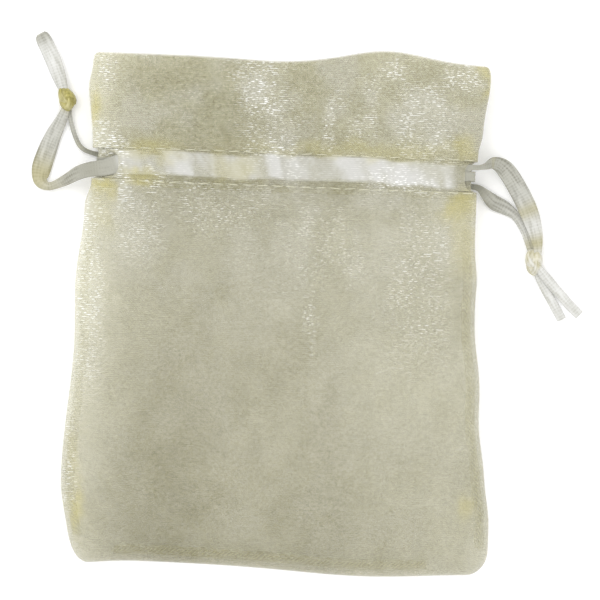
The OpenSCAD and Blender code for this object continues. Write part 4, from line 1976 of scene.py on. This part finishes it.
    def knot_core(self, start: int) -> tuple[Array, list, list]:
        """The rounded middle of the knot, with the ridges of its turns, about the origin.

        Args:
            start: Number of its first point.

        Returns:
            Its points, faces and marks.
        """
        rings, spokes = 14, 28
        reach = np.array((1.42, 1.30, 0.86))
        points, marks, faces = [], [], []
        for i in range(1, rings):
            for j in range(spokes):
                p, q = PI * i / rings, 2 * PI * j / spokes
                lump = 1 + 0.05 * math.sin(2 * q + 4 * p) + 0.03 * math.sin(5 * q - 3 * p)
                # How much painted fold shade this part of the knot gets
                creased = 0.7 + 0.3 * math.sin(3 * q + 5 * p)
                ball = (math.sin(p) * math.cos(q), math.sin(p) * math.sin(q), math.cos(p))
                points.append(reach * lump * ball)
                marks.append((2.0 * q, math.cos(p), creased, 0.0, 0.0))
        top = start + len(points)
        points += [reach * (0, 0, 1), reach * (0, 0, -1)]
        marks += [(0.0, 0.0, 1.0, 0.0, 0.0)] * 2
        for i in range(rings - 2):
            for j in range(spokes):
                a, b = start + i * spokes + j, start + i * spokes + (j + 1) % spokes
                faces.append([a, a + spokes, b + spokes, b])
        last = start + (rings - 2) * spokes
        for j in range(spokes):
            faces.append([top, start + j, start + (j + 1) % spokes])
            faces.append([top + 1, last + (j + 1) % spokes, last + j])
        return np.array(points), faces, marks

    def knot(self) -> bpy.types.Object:
        """The knot: an overhand knot pulled tight, long along the way the ribbon leaves it.

        Returns:
            The piece, as large as the CAD's knot.
        """
        strand, strand_faces, strand_marks = self.knot_strand()
        core, core_faces, core_marks = self.knot_core(len(strand))
        cloud = np.concatenate([strand, core])
        lean, stretch, taper = (118.0, 1.45, 0.20) if self.side is Side.LEFT else (96.0, 1.25, 0.0)
        ahead = np.array([math.cos(math.radians(lean)), math.sin(math.radians(lean)), 0.0])
        across = np.array([-ahead[1], ahead[0], 0.0])
        along, aside = cloud @ ahead, cloud @ across
        aside = aside * (1 - taper * along / np.abs(along).max())
        cloud = ahead * (along * stretch)[:, None] + across * aside[:, None] + cloud * (0, 0, 1)
        low, high = (np.array(corner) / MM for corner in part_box(f"{self.label}_knot"))
        least, most = cloud.min(axis=0), cloud.max(axis=0)
        cloud = (low + high) / 2 + (cloud - (least + most) / 2) * (high - low) / (most - least)
        piece = new_piece(f"{self.label}_drawstring_knot", cloud, strand_faces + core_faces, 80.0)
        self.mark(piece, strand_marks + core_marks)
        piece.data.materials.append(self.knot_satin)
        return piece

    def build(self, length: float) -> None:
        """Args:
            length: Length of the ribbon from knot to knot, in metres; not used.
        """
        curve = self.smooth(self.route())
        ribbon = self.sweep(f"{self.label}_drawstring_ribbon", curve, 0.10)
        ribbon.data.materials.append(self.ribbon_satin)
        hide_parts(f"{self.label}_ribbon")
        knot = self.knot()
        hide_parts(f"{self.label}_knot")
        others = [knot]
        tails = LEFT_TAILS if self.side is Side.LEFT else RIGHT_TAILS
        for place, points in tails.items():
            name = f"{self.label}_drawstring_{place}_tail"
            tail = self.sweep(name, self.smooth(self.outside(points)), 0.14)
            tail.data.materials.append(self.ribbon_satin)
            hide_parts(f"{self.label}_tail_{place}")
            others.append(tail)
        for piece in [ribbon, *others]:
            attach(piece, self.body)
        log.info("made the %s drawstring, %.1f mm long", self.label, self.measure(curve))

    def measure(self, curve: Array) -> float:
        """Length of a curve in millimetres."""
        return float(np.linalg.norm(np.diff(curve[:, :3], axis=0), axis=1).sum())


# --------------------------------------------------------------------------- the studio


@dataclass
class Studio:
    """A pale floor, soft light and a camera straight above."""

    view_w: float = 0.10345
    distance: float = 1.5
    centre: tuple[float, float] = (0.0035, 0.0017)
    roll: float = 2.2
    plane_z: float = 0.0025
    floor_half: float = 1.5
    floor_z: float = -0.0003

    def floor(self) -> None:
        """A plain pale floor."""
        half, z = self.floor_half, self.floor_z
        mesh = bpy.data.meshes.new("floor")
        corners = [(-half, -half, z), (half, -half, z), (half, half, z), (-half, half, z)]
        mesh.from_pydata(corners, [], [(0, 1, 2, 3)])
        obj = bpy.data.objects.new("floor", mesh)
        bpy.context.scene.collection.objects.link(obj)
        n = Nodes("pale_floor")
        tone = n.noise(n.place((0.01, 0.01, 0.01)))
        base = n.colour(tone, (0.96, 0.96, 0.96), (0.98, 0.98, 0.98))
        constants = {"Roughness": 0.9, "Specular IOR Level": 0.1, "Emission Strength": 0.12}
        mesh.materials.append(n.finish(constants, Base_Color=base, Emission_Color=base))

    def light(
        self, name: str, place: tuple[float, float, float], size: float, power: float
    ) -> None:
        """A large soft lamp that looks at the pouch.

        Args:
            name: The lamp's name.
            place: Where it hangs.
            size: Its width.
            power: Its power in watts.
        """
        data = bpy.data.lights.new(name, "AREA")
        data.shape = "DISK"
        data.size = size
        data.energy = power
        obj = bpy.data.objects.new(name, data)
        obj.location = place
        obj.rotation_euler = (-Vector(place)).to_track_quat("-Z", "Y").to_euler()
        bpy.context.scene.collection.objects.link(obj)

    def build(self) -> None:
        """Build the floor, the lights and the camera."""
        scene = bpy.context.scene
        scene.view_settings.view_transform = "Standard"
        scene.cycles.transparent_max_bounces = 40
        scene.cycles.max_bounces = 5
        scene.cycles.diffuse_bounces = 3
        world = bpy.data.worlds.new("soft_white")
        world.use_nodes = True
        background = world.node_tree.nodes["Background"]
        background.inputs["Color"].default_value = (1.0, 1.0, 1.0, 1.0)
        background.inputs["Strength"].default_value = 1.0
        scene.world = world
        self.floor()
        self.light("key_light", (-0.45, 0.38, 1.0), 0.8, 3.6)
        self.light("fill_light", (0.45, -0.25, 1.0), 0.9, 2.2)
        data = bpy.data.cameras.new("camera")
        data.sensor_width = 36.0
        data.lens = data.sensor_width * self.distance / self.view_w
        data.clip_start = 0.01
        camera = bpy.data.objects.new("camera", data)
        camera.location = (*self.centre, self.distance + self.plane_z)
        camera.rotation_euler = (0, 0, math.radians(self.roll))
        scene.collection.objects.link(camera)
        scene.camera = camera
        log.info("made the studio")


def main() -> None:
    """Build the pouch and its studio."""
    logging.basicConfig(level=logging.INFO, format="%(message)s")
    Studio().build()
    shape = PouchShape()
    gathering = Gathering(shape)
    satin = Satin("satin_ribbon_finish").build()
    # Copies of the satin for the knots with painted shade, the left knot's darker and yellower than
    # the right's
    shaded_knot_satin = Satin(
        "knotted_ribbon_finish", light=(0.52, 0.48, 0.24), shade=(0.23, 0.205, 0.05),
        fold=(0.20, 0.175, 0.03), fold_light=(0.42, 0.375, 0.09),
    ).build()
    pale_knot = Satin(
        "pale_knot_finish", light=(0.66, 0.65, 0.59), shade=(0.36, 0.33, 0.19),
        fold=(0.36, 0.32, 0.12), fold_light=(0.64, 0.61, 0.47),
    ).build()
    Drawstring(shape, Side.LEFT, satin, shaded_knot_satin).build(0.178)
    Drawstring(shape, Side.RIGHT, satin, pale_knot).build(0.177)
    front = SheerCloth("front_organza").build()
    back = SheerCloth("back_organza", sparkle=0.6).build()
    Panels(shape, gathering, Play(shape, Clouds(7)), front, back).build()
    stitches = StitchTree()
    thread = SewingThread("cream_thread").build()
    binding = SewingThread(
        "binding_thread", light=(0.50, 0.47, 0.31), deep=(0.38, 0.355, 0.21)
    ).build()
    Seams(shape, gathering, SeamCloth("bound_edge").build(), binding, stitches).build()
    Stitching(shape, gathering, thread, stitches).build()


if __name__ == "__main__":
    main()
